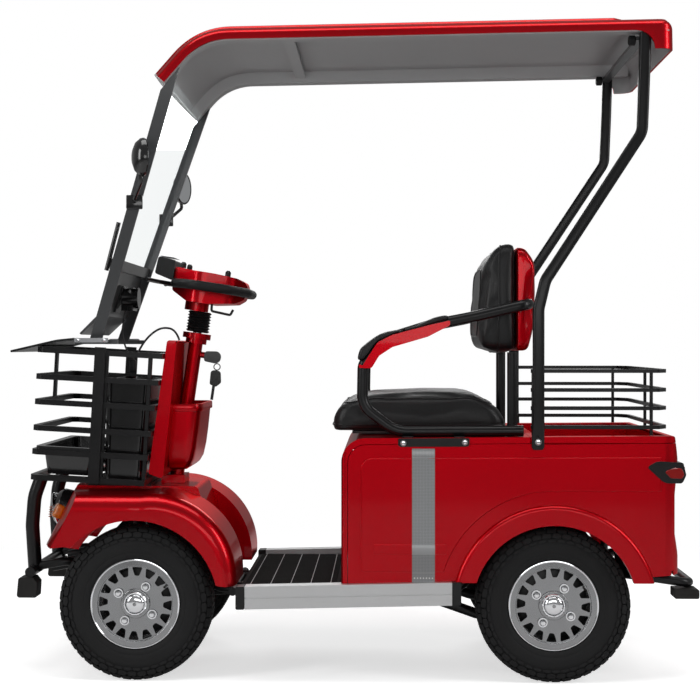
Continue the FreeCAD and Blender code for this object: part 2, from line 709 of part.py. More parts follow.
def basket_liners():
    """Tall tub behind the side posts and the shallow tray in front of it, its rim on the second hoop."""
    tub_rear = BASKET_REAR - RAIL_BAR + 5.5
    tub = tapered_tub((10, -188, 5.3), (tub_rear, 188, 284), 8, 3, 18, (0, 6, 0))
    tray_top = RAIL_LEVELS[1] + RAIL_BAR + SEAT_GAP + 8
    tray = tapered_tub((-150, -203, 16), (-6, 203, tray_top), 12, 3, 14, (16, 17, 6))
    return [tilted(tub), tilted(tray)]


def deck_plate():
    """Steel plate that carries the basket on the fender's deck."""
    return prism("xz", [(-736, DECK_Z + 6.9), (-560, DECK_Z + 5.4), (-560, 506.4), (-736, 516.2)], -140,
                 140)


# Leg shield, bin and column

SHIELD_HALF_WIDTH = 200.0
FLANGE_Z = 732.0


def leg_shield():
    outline = [(-32, 334, 8), (9, 326, 8), (1, 547, 40), (-7, 704, 8), (-33, 704, 8)]
    panel = prism("xz", outline, -SHIELD_HALF_WIDTH, SHIELD_HALF_WIDTH)
    channel = rod((COLUMN_BEHIND, 0, 300), (COLUMN_BEHIND, 0, 760), COLUMN_RADIUS + SEAT_GAP)
    return raked(panel.cut(channel))


def bin_block(inset, top):
    outline = [(-508 + inset, top), (-423 - inset, top), (-438 - inset, 604, 40),
               (-462 - inset, 548 + inset, 34),
               (-500 + inset, 541 + inset, 20), (-527 + inset, 566, 20), (-524 + inset, 620)]
    return prism("xz", outline, -135 + inset, 135 - inset)


def storage_bin():
    """Pocket behind the leg shield that wraps the column."""
    outer = bin_block(0, 728)
    lip = prism("xy", [(-516, -140, 4), (-418, -140, 12), (-418, 140, 12), (-516, 140, 4)], 708, 728)
    inner = bin_block(PANEL, 740)
    sleeve = raked(rod((COLUMN_BEHIND, 0, 300), (COLUMN_BEHIND, 0, 640), COLUMN_RADIUS + SEAT_GAP + PANEL))
    channel = raked(rod((COLUMN_BEHIND, 0, 290), (COLUMN_BEHIND, 0, 660), COLUMN_RADIUS + SEAT_GAP))
    shell = fuse([outer, lip]).cut(inner)
    shell = fuse([shell, sleeve.common(bin_block(0, 728))]).cut(channel)
    behind_shield = raked(prism("xz", [(-90, 280), (12, 280), (1.5, 547, 40), (-6.5, 760), (-90, 760)],
                                -300, 300))
    cleared = shell.cut(behind_shield)
    return max(cleared.Solids, key=lambda solid: solid.Volume)


def column_tube():
    """Column tube with its top flange and the foot bracket on the frame."""
    x = COLUMN_BEHIND
    pipe = rod((x, 0, 130), (x, 0, FLANGE_Z), COLUMN_RADIUS)
    flange = rod((x, 0, FLANGE_Z - 16), (x, 0, FLANGE_Z), 40)
    collar = rod((x, 0, FLANGE_Z - 30), (x, 0, FLANGE_Z - 14), 30)
    foot = rod((x, 0, 130), (x, 0, 150), 34)
    lock = rod((x + 12, 0, 672), (x + 30, 0, 672), 9)
    bore = rod((x, 0, 100), (x, 0, FLANGE_Z + 20), SHAFT_RADIUS + RUNNING_FIT)
    socket = box((-547, -45, DECK_Z + 5.4), (-480, 45, DECK_Z + 28))
    return fuse([raked(fuse([pipe, flange, collar, foot, lock])), socket]).cut(raked(bore))


def column_mount():
    """Plate across the rails that holds the column's foot."""
    plate = box((-9, -RAIL_Y, 118), (62, RAIL_Y, 129.7))
    hole = rod((COLUMN_BEHIND, 0, 100), (COLUMN_BEHIND, 0, 140), SHAFT_RADIUS + 6)
    return raked(plate.cut(hole))


# Tiller

HEAD_LOW = 818.0
GRIP_Z = 864.0
GRIP_RADIUS = 13.0
HEAD_HALF_WIDTH = 118.0


def tiller_head():
    side = [(-62, 845, 14), (-13, 819, 20), (50, 818, 30), (121, 829, 16), (143, 843, 14), (152, 874, 20),
            (142, 893, 14), (120, 901, 20), (60, 905, 30), (0, 906, 20), (-62, 911, 12)]
    plan = [(-62, -70, 30), (20, -HEAD_HALF_WIDTH, 50), (110, -92, 50), (152, -30, 30), (152, 30, 30),
            (110, 92, 50), (20, HEAD_HALF_WIDTH, 50), (-62, 70, 30)]
    head = prism("xz", side, -HEAD_HALF_WIDTH - 5, HEAD_HALF_WIDTH + 5).common(prism("xy", plan, 800, 920))
    neck = rod((COLUMN_BEHIND - 12, 0, 795), (COLUMN_BEHIND - 12, 0, 822), 34)
    shaft = rod((COLUMN_BEHIND, 0, 700), (COLUMN_BEHIND, 0, SHAFT_TOP + SEAT_GAP), SHAFT_RADIUS + SEAT_GAP)
    return raked(fuse([head, neck]).cut(shaft))


def tiller_bellows():
    """Corrugated sleeve over the column joint."""
    rings = 7
    step = (795 - 0.3 - (FLANGE_Z + 3)) / rings
    base = FLANGE_Z + 3
    corners = [(SHAFT_RADIUS + 0.5, base)]
    for index in range(rings):
        corners.append((29, base + step * index))
        corners.append((34, base + step * (index + 0.5)))
    corners.append((29, base + step * rings))
    corners.append((SHAFT_RADIUS + 0.5, base + step * rings))
    sleeve = turned([(radius, -along) for radius, along in corners], (0, 0, 0))
    sleeve.rotate(vec(0, 0, 0), vec(1, 0, 0), -90)
    sleeve.translate(vec(COLUMN_BEHIND, 0, 0))
    return raked(sleeve)


def tiller_grip():
    """Closed loop handle round the head."""
    corners = [(-50, -100, 50), (10, -190, 50), (95, -190, 60), (155, -70, 60), (155, 70, 60),
               (95, 190, 60),
               (10, 190, 50), (-50, 100, 50)]
    points = [(vec(x, y, GRIP_Z), radius) for x, y, radius in corners]
    spine = Part.Wire(rounded_edges(points, True))
    first = spine.Edges[0]
    start = first.Vertexes[0].Point
    along = first.tangentAt(first.FirstParameter)
    section = Part.Wire(Part.makeCircle(GRIP_RADIUS, start, along))
    loop = spine.makePipeShell([section], True, False)
    head = prism("xy", [(-62.3, -70.3, 30), (20, -HEAD_HALF_WIDTH - SEAT_GAP, 50), (110.3, -92.3, 50),
                        (152.3, -30, 30),
                        (152.3, 30, 30), (110.3, 92.3, 50), (20, HEAD_HALF_WIDTH + SEAT_GAP, 50),
                        (-62.3, 70.3, 30)], 800, 920)
    outside = loop.cut(head)
    return [raked(solid) for solid in outside.Solids]


def tiller_controls():
    """Display hood, knobs, brake levers and the speed lever under the head."""
    hood = prism("xz", [(-116, 884, 6), (-62.3, 870, 6), (-62.3, 928, 4), (-112, 934, 8)], -62, 62)
    pieces = [raked(hood)]
    for x, y, base in ((-38, -62, 909.8), (-38, 62, 909.8), (88, -40, 903.8)):
        pieces.append(raked(rod((x, y, base), (x, y, base + 12), 8)))
    for side in (-1, 1):
        lever = tube([(-67.2, side * 36, 861), (-100, side * 76, 861), (-118, side * 168, 861)], 6, 30)
        pieces.append(raked(lever))
    speed = tube([(62, -100, 819.2), (64, -104, 800), (118, -104, 796), (124, -104, 812)], 3.5, 6)
    pieces.append(raked(speed))
    return pieces


def keys():
    """Key in the column lock with its fob, ring and a second key hanging from it."""
    x = COLUMN_BEHIND + 30.3
    fob = prism("xz", [(x, 655, 8), (x + 46, 652, 16), (x + 48, 690, 16), (x, 684, 8)], -6, 6)
    ring = Part.makeTorus(9, 1.5, vec(x + 40, 0, 644), vec(0, 1, 0))
    key = prism("xz", [(x + 26, 592, 6), (x + 44, 586, 6), (x + 58, 600, 10), (x + 52, 633.5, 10),
                       (x + 24, 633.5, 10)],
                -4, 4)
    blade = box((x + 34, -1.5, 548), (x + 42, 1.5, 590))
    return [raked(fob), raked(ring), raked(fuse([key, blade]))]


def cables():
    """Lead from the column's collar to a plug on the basket tub, and the wiper motor's lead."""
    lead = tube([(-500, -14, 905.4), (-509, -18, 935), (-545, -24, 943), (-575, -28, 927), (-602, -30, 897),
                 (-621, -30, 860), (-631, -30, 835)], 3, 16)
    plug = box((-640, -38, 812), (-622, -22, 850))
    motor_lead = tube([(-655, -14, 989.6), (-660, -18, 960), (-664, -24, 925), (-652, -26, 880),
                       (-634, -30, 846)], 2.5, 12)
    return fuse([lead, plug, motor_lead])


# Windscreen and lid

PILLAR_FOOT = (-702.0, 205.0, 905.0)
PILLAR_HEAD = (-468.0, 329.0, ROOF_EDGE_Z - 85.0)
PILLAR_WIDTH = 33.0
PILLAR_THICKNESS = 9.0


def pillar_point(height):
    share = (height - PILLAR_FOOT[2]) / (PILLAR_HEAD[2] - PILLAR_FOOT[2])
    return [low + (high - low) * share for low, high in zip(PILLAR_FOOT, PILLAR_HEAD)]


def pillar():
    sections = []
    for height in (PILLAR_FOOT[2], PILLAR_HEAD[2]):
        x, y, z = pillar_point(height)
        half = PILLAR_WIDTH / 2
        sections.append([(x - half, -y, z), (x + half, -y, z), (x + half, -y + PILLAR_THICKNESS, z),
                         (x - half, -y + PILLAR_THICKNESS, z)])
    return bar_loft(sections)


SCREEN_LOW_Z = 1108.0
WIPER_Z = 1046.0


def screen_panel(low_z, high_z, gap, thickness, offset):
    """Flat panel between the pillars from one height to another."""
    sections = []
    for height in (low_z, high_z):
        x, y, z = pillar_point(height)
        half = y - PILLAR_THICKNESS - gap
        sections.append([(x + offset, -half, z), (x + offset + thickness, -half, z),
                         (x + offset + thickness, half, z),
                         (x + offset, half, z)])
    return bar_loft(sections)


def below_roof(shape):
    """Cuts a shape off just under the roof's front slope."""
    x, z = ROOF_FRONT
    rise = ROOF_EDGE_Z - ROOF_RISE - z
    run = -395 - x
    length = math.hypot(run, rise)
    gap = LINER_THICKNESS + SEAT_GAP
    down = (gap * rise / length, -gap * run / length)
    start = (x - run + down[0], z - rise + down[1])
    end = (x + run + down[0], z + rise + down[1])
    return shape.cut(prism("xz", [start, end, (end[0], z + 400), (start[0], z + 400)], -400, 400))


def windscreen():
    return below_roof(screen_panel(SCREEN_LOW_Z + 14.3, PILLAR_HEAD[2] - 2, SEAT_GAP, 4, -2))


def windscreen_frame():
    """Pillars, cross bar, lower panel, the sloping apron and the side brackets with the lid's pin."""
    left = below_roof(pillar())
    cross = screen_panel(SCREEN_LOW_Z - 14, SCREEN_LOW_Z + 14, -1, 14, -7)
    lower = screen_panel(972, SCREEN_LOW_Z - 13, -1, 4, -14)
    lower = lower.cut(rod((-700, 0, WIPER_Z), (-640, 0, WIPER_Z), 6 + SEAT_GAP))
    half = 196
    apron = prism("xz", [(-688, 990), (-694, 978), (-748, 924), (-744, 920), (-688, 972)], -half, half)
    pieces = [left, mirrored(left), cross, lower, apron]
    for side in (-1, 1):
        y = side * 200
        low = min(y, y + side * 13)
        pieces.append(box((-757, low, 894), (-640, low + 13, 906)))
    x, z = LID_HINGE
    pieces.append(rod((x, -201, z), (x, 201, z), LID_PIN_RADIUS))
    return fuse(pieces)


def wiper():
    """Motor on its bracket behind the lower panel, and the arm with its blade in front."""
    bracket = prism("xz", [(-685.9, 985), (-680, 985), (-655.8, 1060), (-661.8, 1060)], -34, 34)
    motor = rod((-661.7, 0, 1026), (-618, 0, 1026), 30)
    gear = box((-666, -22, 990), (-632, 46, 1032))
    spindle = rod((-692, 0, WIPER_Z), (-655, 0, WIPER_Z), 6)
    arm = tube([(-687, 3, WIPER_Z - 0.3), (-688, -60, 1052), (-661, -197, 1142)], 4, 20)
    blade = rod((-674, -194, 1096), (-638, -203, 1227), 6)
    return fuse([bracket, motor, gear, spindle, arm, blade])


LID_HINGE = (-752.0, 903.0)
LID_PIN_RADIUS = 3.0
LID_BARREL_RADIUS = 6.0


def basket_lid():
    """Sloping lid over the front of the basket, hinge barrel at its rear edge, latch at its nose."""
    x, z = LID_HINGE
    plate = prism("xz", [(FRONT_TIP_X, 871.4, 1.5), (-802, 900.5, 200), (x - 4, 905), (x - 4, 911),
                         (-802, 906.5, 194),
                         (FRONT_TIP_X, 877.4, 1.5)], -235, 235)
    barrel = rod((x, -198, z), (x, 198, z), LID_BARREL_RADIUS)
    bore = rod((x, -300, z), (x, 300, z), LID_PIN_RADIUS + RUNNING_FIT)
    notches = both_sides(box((x - 22, -219, z - 30), (x + 10, -198, z + 30)))
    return fuse([plate.cut(notches), barrel]).cut(bore)


# Roof

ROOF_HALF_WIDTH = 335.0
ROOF_FRONT = (-494.0, ROOF_EDGE_Z - 132.0)
ROOF_REAR_X = 842.0
ROOF_RISE = 20.0
ROOF_BEND = 165.0
VALANCE_DROP = 49.0
VALANCE_THICKNESS = 8.0
LINER_THICKNESS = 3.0
LINER_FLANGE = 40.0
LINER_DEPTH = 34.0
BRACE_X = -170.0
POST_RADIUS = 15.0


def roof_spine():
    bend = vec(-395, 0, ROOF_EDGE_Z - ROOF_RISE)
    corners = [(vec(ROOF_FRONT[0], 0, ROOF_FRONT[1]), 0), (bend, ROOF_BEND),
               (vec(ROOF_REAR_X, 0, ROOF_EDGE_Z), 0)]
    return Part.Wire(rounded_edges(corners, False))


def roof_section(outline, rear=False):
    """Closed cross-section square to the spine at its front or rear end."""
    spine = roof_spine()
    edge = spine.Edges[-1] if rear else spine.Edges[0]
    along = edge.tangentAt(edge.FirstParameter)
    angle = math.degrees(math.atan2(along.x, along.z))
    wire = outline_wire("yz", outline, 0)
    wire.rotate(vec(0, 0, 0), vec(0, 1, 0), angle - 90)
    wire.translate(vec(ROOF_REAR_X, 0, ROOF_EDGE_Z) if rear else vec(ROOF_FRONT[0], 0, ROOF_FRONT[1]))
    return wire, along


def roof_crown(inset):
    """Top of the roof's cross-section from its left edge to its right, moved in by the wall."""
    half = ROOF_HALF_WIDTH
    shoulder = 60 + inset / 2
    return [(-half + inset, 20 - inset / 2, 12 - inset), (-half + shoulder, 52 - inset, 60 - inset),
            (0, 79 - inset, 900 - inset), (half - shoulder, 52 - inset, 60 - inset),
            (half - inset, 20 - inset / 2, 12 - inset)]


def roof_shell():
    """Swept roof with a valance across its rear and the edges drawn down to it."""
    half = ROOF_HALF_WIDTH
    outer = [(-half, 0)] + roof_crown(0) + [(half, 0)]
    inner = [(-half + PANEL, 0)] + roof_crown(PANEL) + [(half - PANEL, 0)]
    section, _ = roof_section(outer + inner[::-1])
    sweep = roof_spine().makePipeShell([section], True, False)
    closing, along = roof_section([(-half, -VALANCE_DROP)] + roof_crown(0) + [(half, -VALANCE_DROP)], True)
    valance = Part.Face(closing).extrude(along * -VALANCE_THICKNESS)
    low = ROOF_EDGE_Z - VALANCE_DROP
    corner = (ROOF_REAR_X - 96, low)
    skirt = box((corner[0], -half, low), (ROOF_REAR_X, -half + PANEL, ROOF_EDGE_Z + 5))
    scoop = rod((corner[0], -half - 9, low), (corner[0], -half + 9, low), VALANCE_DROP)
    return fuse([sweep, valance] + both_sides(skirt.cut(scoop)))


def roof_liner():
    """Recessed ceiling with a flange round it, a brace across and a closed front end."""
    half = ROOF_HALF_WIDTH - PANEL - SEAT_GAP
    wall = LINER_THICKNESS
    flange = half - LINER_FLANGE
    top = LINER_DEPTH
    slope = top / 3
    outline = [(-half, -wall), (-flange, -wall, 2), (slope - flange, top - wall, 6),
               (flange - slope, top - wall, 6),
               (flange, -wall, 2), (half, -wall), (half, 0), (flange + 2, 0), (flange + 2 - slope, top, 6),
               (slope - flange - 2, top, 6), (-flange - 2, 0), (-half, 0)]
    section, _ = roof_section(outline)
    tray = roof_spine().makePipeShell([section], True, False)
    behind = box((ROOF_REAR_X - VALANCE_THICKNESS - 1, -half, ROOF_EDGE_Z - 200),
                 (ROOF_REAR_X + 50, half, ROOF_EDGE_Z + 200))
    brace_z = ROOF_EDGE_Z - ROOF_RISE + 14
    brace = box((BRACE_X - 15, 2 - flange, brace_z), (BRACE_X + 15, flange - 2, brace_z + 6))
    return fuse([tray, brace, roof_front_end()]).cut(behind)


def roof_front_end():
    """Plate that closes the roof's front between shell and liner."""
    shrink = PANEL + SEAT_GAP
    half = ROOF_HALF_WIDTH - shrink
    closing, along = roof_section([(-half, -LINER_THICKNESS)] + roof_crown(shrink) + [(half,
                                                                                       -LINER_THICKNESS)])
    return Part.Face(closing).extrude(along * PANEL)


def roof_post():
    """Left rear post, bolted outside the body and leaning in to the roof."""
    foot_y = -BODY_HALF_WIDTH - POST_RADIUS - SEAT_GAP
    head_y = -ROOF_HALF_WIDTH + PANEL + POST_RADIUS + SEAT_GAP
    path = [(490, foot_y, 635), (490, foot_y, 985, 60), (508, foot_y + 2, 1060, 60),
            (764, head_y - 2, ROOF_EDGE_Z - 267, 60),
            (770, head_y - 1, ROOF_EDGE_Z - 117), (773, head_y, ROOF_EDGE_Z - 6)]
    return tube(path, POST_RADIUS, 200)


def mirror_pair():
    """Oval mirrors, each on a bent stem clamped to a pillar."""
    x, y, z = pillar_point(ROOF_EDGE_Z - 442)
    glass = Part.makeCylinder(46, 20, vec(0, 0, 0), vec(1, 0, 0))
    glass = glass.makeFillet(7, [edge for edge in glass.Edges if edge.Closed])
    stretch = FreeCAD.Matrix()
    stretch.scale(1, 0.95, 1.15)
    glass = glass.transformGeometry(stretch)
    glass.rotate(vec(0, 0, 0), vec(0, 0, 1), 12)
    glass.translate(vec(x + 31, -y - 104, z + 108))
    clamp = box((x - 24, -y - 7, z - 20), (x + 24, -y - SEAT_GAP, z + 20))
    clamp.rotate(vec(x, -y, z), vec(1, 0, 0), 10.4)
    stem = tube([(x, -y - 4, z), (x + 6, -y - 34, z + 6), (x + 37, -y - 98, z + 45),
                 (x + 39, -y - 102, z + 87)], 5, 14)
    return both_sides(fuse([glass, clamp, stem]))


# Rear body

BODY_FRONT_X = -26.0
BODY_REAR_X = 850.0
CARGO_FRONT_X = 470.0
ARCH_RADIUS_REAR = 215.0
LIP = 18.0
BODY_SLOPE = 7.0 / 349.0
OUTSIDE_Y = BODY_HALF_WIDTH + 65.0
PANEL_EDGE_Y = BODY_HALF_WIDTH - 45.0
TUB_HALF_WIDTH = BODY_HALF_WIDTH - 35.0
FLARE_RADIUS = 268.0
FLARE_WIDTH = 15.0
FIELD_HEIGHT = 3.0
FIELD_REAR_X = BODY_REAR_X - 38.0
FIELD_ARCH_RADIUS = 304.0


def body_block(inset, half_width):
    """Rear body outline from the side, shrunk by the inset, across the given half width."""
    i = inset
    outline = [(BODY_FRONT_X + i, BODY_BOTTOM_Z), (BODY_FRONT_X + i, BODY_TOP_Z - i, max(65 - i, 8)),
               (BODY_REAR_X - i, BODY_TOP_Z + 7 - i, 8), (860 - i, 590, 30), (849 - i, 500, 60), (849 - i,
                                                                                                  395, 40),
               (861 - i, 335, 10), (861 - i, 290), (790, 284), (BODY_FRONT_X + 300, 268)]
    return prism("xz", outline, -half_width, half_width)


def plan_block(inset):
    half = BODY_HALF_WIDTH - inset
    outline = [(BODY_FRONT_X + inset, -half, 14), (862 - inset, -half, 40), (862 - inset, half, 40),
               (BODY_FRONT_X + inset, half, 14)]
    return prism("xy", outline, 200, 700)


def body_shell():
    outer = body_block(0, BODY_HALF_WIDTH).common(plan_block(0))
    inner = body_block(PANEL, BODY_HALF_WIDTH).common(plan_block(PANEL))
    inner = fuse([inner, box((BODY_FRONT_X + PANEL, -BODY_HALF_WIDTH + PANEL, 240),
                             (845, BODY_HALF_WIDTH - PANEL, 300))])
    arch = rod((REAR_AXLE_X, -OUTSIDE_Y, AXLE_Z), (REAR_AXLE_X, OUTSIDE_Y, AXLE_Z), ARCH_RADIUS_REAR)
    return outer.cut([inner, arch] + both_sides(board_space()))


def side_region(gap):
    """Space of the left side panel: inside the lips, outside the rest."""
    inset = LIP - gap
    wide = OUTSIDE_Y
    front = body_block(inset, wide).common(box((-100, -wide, 200), (500, wide, 700)))
    rear = prism("xz", [(300, 200), (900, 200), (900, 634 + gap), (300, 628.5 + gap)], -wide, wide)
    return fuse([front, rear]).common(box((-100, -wide, 200), (900, -PANEL_EDGE_Y - gap, 700)))


def flare():
    face = -BODY_HALF_WIDTH - FLARE_WIDTH
    inside = -BODY_HALF_WIDTH + 35
    ring = rod((REAR_AXLE_X, face, AXLE_Z), (REAR_AXLE_X, -BODY_HALF_WIDTH + 1, AXLE_Z), FLARE_RADIUS)
    edge = [e for e in ring.Edges if abs(e.CenterOfMass.y - face) < 0.1 and e.Closed]
    ring = ring.makeFillet(FLARE_WIDTH * 0.8, edge)
    hole = rod((REAR_AXLE_X, -OUTSIDE_Y, AXLE_Z), (REAR_AXLE_X, inside, AXLE_Z), ARCH_RADIUS_REAR)
    below = box((200, -OUTSIDE_Y, -100), (900, inside, 269))
    return ring.cut([hole, below, board_space()])


def side_field():
    """Raised field of the left side panel, arched over the wheel, with a bead near its foot."""
    root = -BODY_HALF_WIDTH + 1
    face = -BODY_HALF_WIDTH - FIELD_HEIGHT
    front, rear = BODY_FRONT_X + 52, FIELD_REAR_X
    low, high = BODY_BOTTOM_Z + 33, BODY_TOP_Z - 52
    arch_top = AXLE_Z + FIELD_ARCH_RADIUS
    reach = math.sqrt(FIELD_ARCH_RADIUS ** 2 - (low - AXLE_Z) ** 2)
    halfway = (math.atan2(low - AXLE_Z, reach) + math.pi / 2) / 2
    arch_foot = vec(REAR_AXLE_X - reach, root, low)
    arch_middle = vec(REAR_AXLE_X - FIELD_ARCH_RADIUS * math.cos(halfway), root,
                      AXLE_Z + FIELD_ARCH_RADIUS * math.sin(halfway))
    arch_head = vec(REAR_AXLE_X, root, arch_top)
    corners = [(arch_foot, 0), (vec(front, root, low), 8), (vec(front, root, high), 30),
               (vec(rear, root, high + 4), 0),
               (vec(rear, root, arch_top), 0), (arch_head, 0)]
    edges = rounded_edges(corners, False) + [Part.Arc(arch_head, arch_middle, arch_foot).toShape()]
    block = Part.Face(Part.Wire(edges)).extrude(vec(0, face - root, 0))
    rim = [edge for edge in block.Edges
           if abs(edge.BoundBox.YMin - face) < 0.01 and abs(edge.BoundBox.YMax - face) < 0.01]
    block = block.makeFillet(FIELD_HEIGHT * 0.8, rim)
    bead = rounded_box((front + 34, face - 2, low + 46), (front + 224, face + 3, low + 73), 1.8)
    return fuse([block, bead])


def side_panel(shell):
    panel = shell.common(side_region(0))
    return fuse([panel, side_field(), flare()])


def body_cover(shell):
    """Front wall and seat deck with the side lips, as one moulding."""
    region = box((-100, -OUTSIDE_Y, 200), (CARGO_FRONT_X, OUTSIDE_Y, 700))
    left = side_region(SHUT_LINE)
    return shell.common(region).cut([left, mirrored(left)])


CARGO_FLOOR_Z = 492.0


def cargo_tub(shell):
    """Rim of the cargo space and the tub that hangs from it."""
    half = TUB_HALF_WIDTH
    region = box((CARGO_FRONT_X + SHUT_LINE, -OUTSIDE_Y, 634.5), (900, OUTSIDE_Y, 700))
    rim_part = shell.common(region)
    left = side_region(SHUT_LINE)
    rim_part = rim_part.cut([left, mirrored(left)])
    hole = box((CARGO_FRONT_X + 24, -half, 500), (830, half, 700))
    outer = box((CARGO_FRONT_X + 24, -half, CARGO_FLOOR_Z), (830, half, 646))
    inner = box((CARGO_FRONT_X + 27, 3 - half, CARGO_FLOOR_Z + 3), (827, half - 3, 700))
    return fuse([rim_part.cut(hole), outer.cut(inner)])


def rear_panel(shell):
    half = PANEL_EDGE_Y - SHUT_LINE
    return shell.common(box((800, -half, 200), (900, half, 633)))


def tail_light():
    outline = [(774, 572, 6), (800, 588, 30), (868, 584, 6), (876, 552, 10), (866, 530, 10), (820, 530, 30)]
    lamp = prism("xz", outline, -BODY_HALF_WIDTH - 7, -BODY_HALF_WIDTH + 85)
    field = box((FIELD_REAR_X - 200, -BODY_HALF_WIDTH - FIELD_HEIGHT - SEAT_GAP, 480),
                (FIELD_REAR_X + SEAT_GAP, -BODY_HALF_WIDTH + 100, 620))
    inner = body_block(-SEAT_GAP, OUTSIDE_Y).common(plan_block(-SEAT_GAP))
    return lamp.cut([inner, field])


# Seat

ARMREST_Y = 305.0
ARM_TUBE_RADIUS = 14.5
POST_X = 436.0
POST_Y = 190.0


def seat_cushion():
    outline = [(-56, 657, 10), (-56, 700, 20), (-32, 740, 25), (58, 757, 60), (340, 764, 40),
               (404, 728, 25),
               (428, 680, 12), (420, 657, 10)]
    posts = [rod((POST_X, y, 640), (POST_X, y, 800), 14 + SEAT_GAP) for y in (-POST_Y, POST_Y)]
    return prism("xz", outline, -215, 215).cut(posts)


def backrest_cushion():
    outline = [(344, 872, 22), (362, 1125, 20), (384, 1152, 25), (418, 1169, 20), (446, 1166, 12),
               (446, 872, 12)]
    return prism("xz", outline, -205, 205)


def backrest_shell():
    outline = [(446.3, 880, 6), (470, 868, 20), (484, 905, 20), (500, 1014, 30), (500, 1115, 30),
               (488, 1146, 16),
               (446.3, 1152, 6)]
    return prism("xz", outline, -207, 207)


def armrest_frame(grow=0.0):
    y = -ARMREST_Y
    path = [(455, y, 664.9), (117, y, 662.4, 90), (29, y, 730, 60), (31, y, 838, 30), (80, y, 904, 60),
            (208, y, 944, 90),
            (330, y, 968, 90), (472, y, 1001, 34), (472, -207.3, 1001)]
    return tube(path, ARM_TUBE_RADIUS + grow, 60)


def seat_frame():
    """Armrest tubes, backrest posts and the pan under the cushion."""
    pan = box((0, -190, 650), (410, 190, 656.7))
    pieces = []
    for side in (-1, 1):
        pieces.append(rod((POST_X, side * POST_Y, 650.3), (POST_X, side * POST_Y, 871.7), 14))
    return both_sides(armrest_frame()) + pieces + [pan]


def armrest_pad():
    outline = [(10, 850, 8), (28, 890, 20), (80, 925, 30), (170, 944, 30), (232, 972, 12), (258, 976, 8),
               (266, 962, 6),
               (210, 950, 30), (106, 922, 30), (66, 902, 20), (28, 840, 6)]
    pad = prism("xz", outline, -ARMREST_Y - 27, -ARMREST_Y + 27)
    return pad.cut(armrest_frame(SEAT_GAP))


def armrest_cover():
    """Moulded underside of the pad, wrapped round the tube."""
    outline = [(18, 843.5, 3), (22, 831, 4), (54, 830, 10), (74, 863, 20), (109, 886, 20), (202, 913, 30),
               (262, 944, 10),
               (260, 956, 3), (210, 945, 30), (108, 918, 30), (69, 898, 20), (30, 836.8, 4)]
    cover = prism("xz", outline, -ARMREST_Y - 24, -ARMREST_Y + 24)
    return cover.cut(armrest_frame(SEAT_GAP))


# Cargo rack

RACK_LEVELS = (670.0, 720.0, 768.0, 818.0)


def rack_hoop(level, inset):
    half = 318 - inset
    outline = [(474 + inset, -half), (836 - inset - 26, -half, 8), (836 - inset, -half + 40, 8),
               (836 - inset, half - 40, 8), (836 - inset - 26, half, 8), (474 + inset, half)]
    return prism("xy", outline, level, level + 10)


def cargo_rack():
    pieces = []
    for level in RACK_LEVELS:
        outer = rack_hoop(level, 0)
        inner = prism("xy", [(400, -308), (800, -308, 8), (826, -268, 8), (826, 268, 8), (800, 308, 8),
                             (400, 308)],
                      level - 1, level + 11)
        pieces.append(outer.cut(inner))
    for x, y in ((480, -313), (480, 313), (790, -312), (790, 312), (831, 0)):
        pieces.append(rod((x, y, 653.5), (x, y, 828), 4.5))
    return fuse(pieces)


def build():
    os.makedirs("parts", exist_ok=True)
    make_wheels()
    knuckle_left = knuckle()
    save("knuckle_left", knuckle_left)
    save("knuckle_right", mirrored(knuckle_left))
    save("tie_rod", tie_rod())
    save("steering_shaft", steering_shaft())
    save("front_axle", front_axle())
    save("suspension", suspension())
    save("chassis_frame", fuse([chassis_frame(), column_mount()]))
    save("battery", battery())
    save("rear_axle", rear_axle())
    save("running_boards", both_sides(running_board()))
    save("running_board_caps", [piece for cap in running_board_caps() for piece in both_sides(cap)])
    save("floor_mat", floor_mat())
    save("front_fender", front_fender())
    save("headlight", headlight())
    save("indicators", both_sides(indicator()))
    save("bumpers", [front_bumper(), rear_bumper()])
    save("bumper_blocks", front_blocks() + rear_blocks())
    save("basket_frame", [basket_frame(), deck_plate()])
    save("basket_liners", basket_liners())
    save("leg_shield", leg_shield())
    save("storage_bin", storage_bin())
    save("column_tube", column_tube())
    save("tiller_head", tiller_head())
    save("tiller_bellows", tiller_bellows())
    save("tiller_grip", tiller_grip())
    save("tiller_controls", tiller_controls())
    save("keys", keys())
    save("windscreen", windscreen())
    save("windscreen_frame", windscreen_frame())
    save("wiper", wiper())
    save("basket_lid", basket_lid())
    save("roof_shell", roof_shell())
    save("roof_liner", roof_liner())
    save("roof_posts", both_sides(roof_post()))
    save("mirrors", mirror_pair())
    shell = body_shell()
    left = side_panel(shell)
    save("side_panel_left", left)
    save("side_panel_right", mirrored(left))
    save("body_cover", body_cover(shell))
    save("cargo_tub", cargo_tub(shell))
    save("rear_panel", rear_panel(shell))
    save("tail_lights", both_sides(tail_light()))
    save("seat_cushion", seat_cushion())
    save("backrest_cushion", backrest_cushion())
    save("backrest_shell", backrest_shell())
    save("seat_frame", seat_frame())
    save("armrest_pads", both_sides(armrest_pad()))
    save("armrest_covers", both_sides(armrest_cover()))
    save("cargo_rack", cargo_rack())
    save("cables", cables())


build()
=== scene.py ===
"""Looks of the four-wheeled mobility scooter: finishes, tyres, cushions and small fittings.

Metres, in the frame's own axes: -X is the front, -Y the rider's left, +Z up, the floor is z = 0.
"""

import math

import bmesh
import bpy
from bpy.props import FloatProperty, FloatVectorProperty, IntProperty, PointerProperty
from bpy.types import Operator, Panel, PropertyGroup
from mathutils import Matrix, Vector
from mathutils.bvhtree import BVHTree


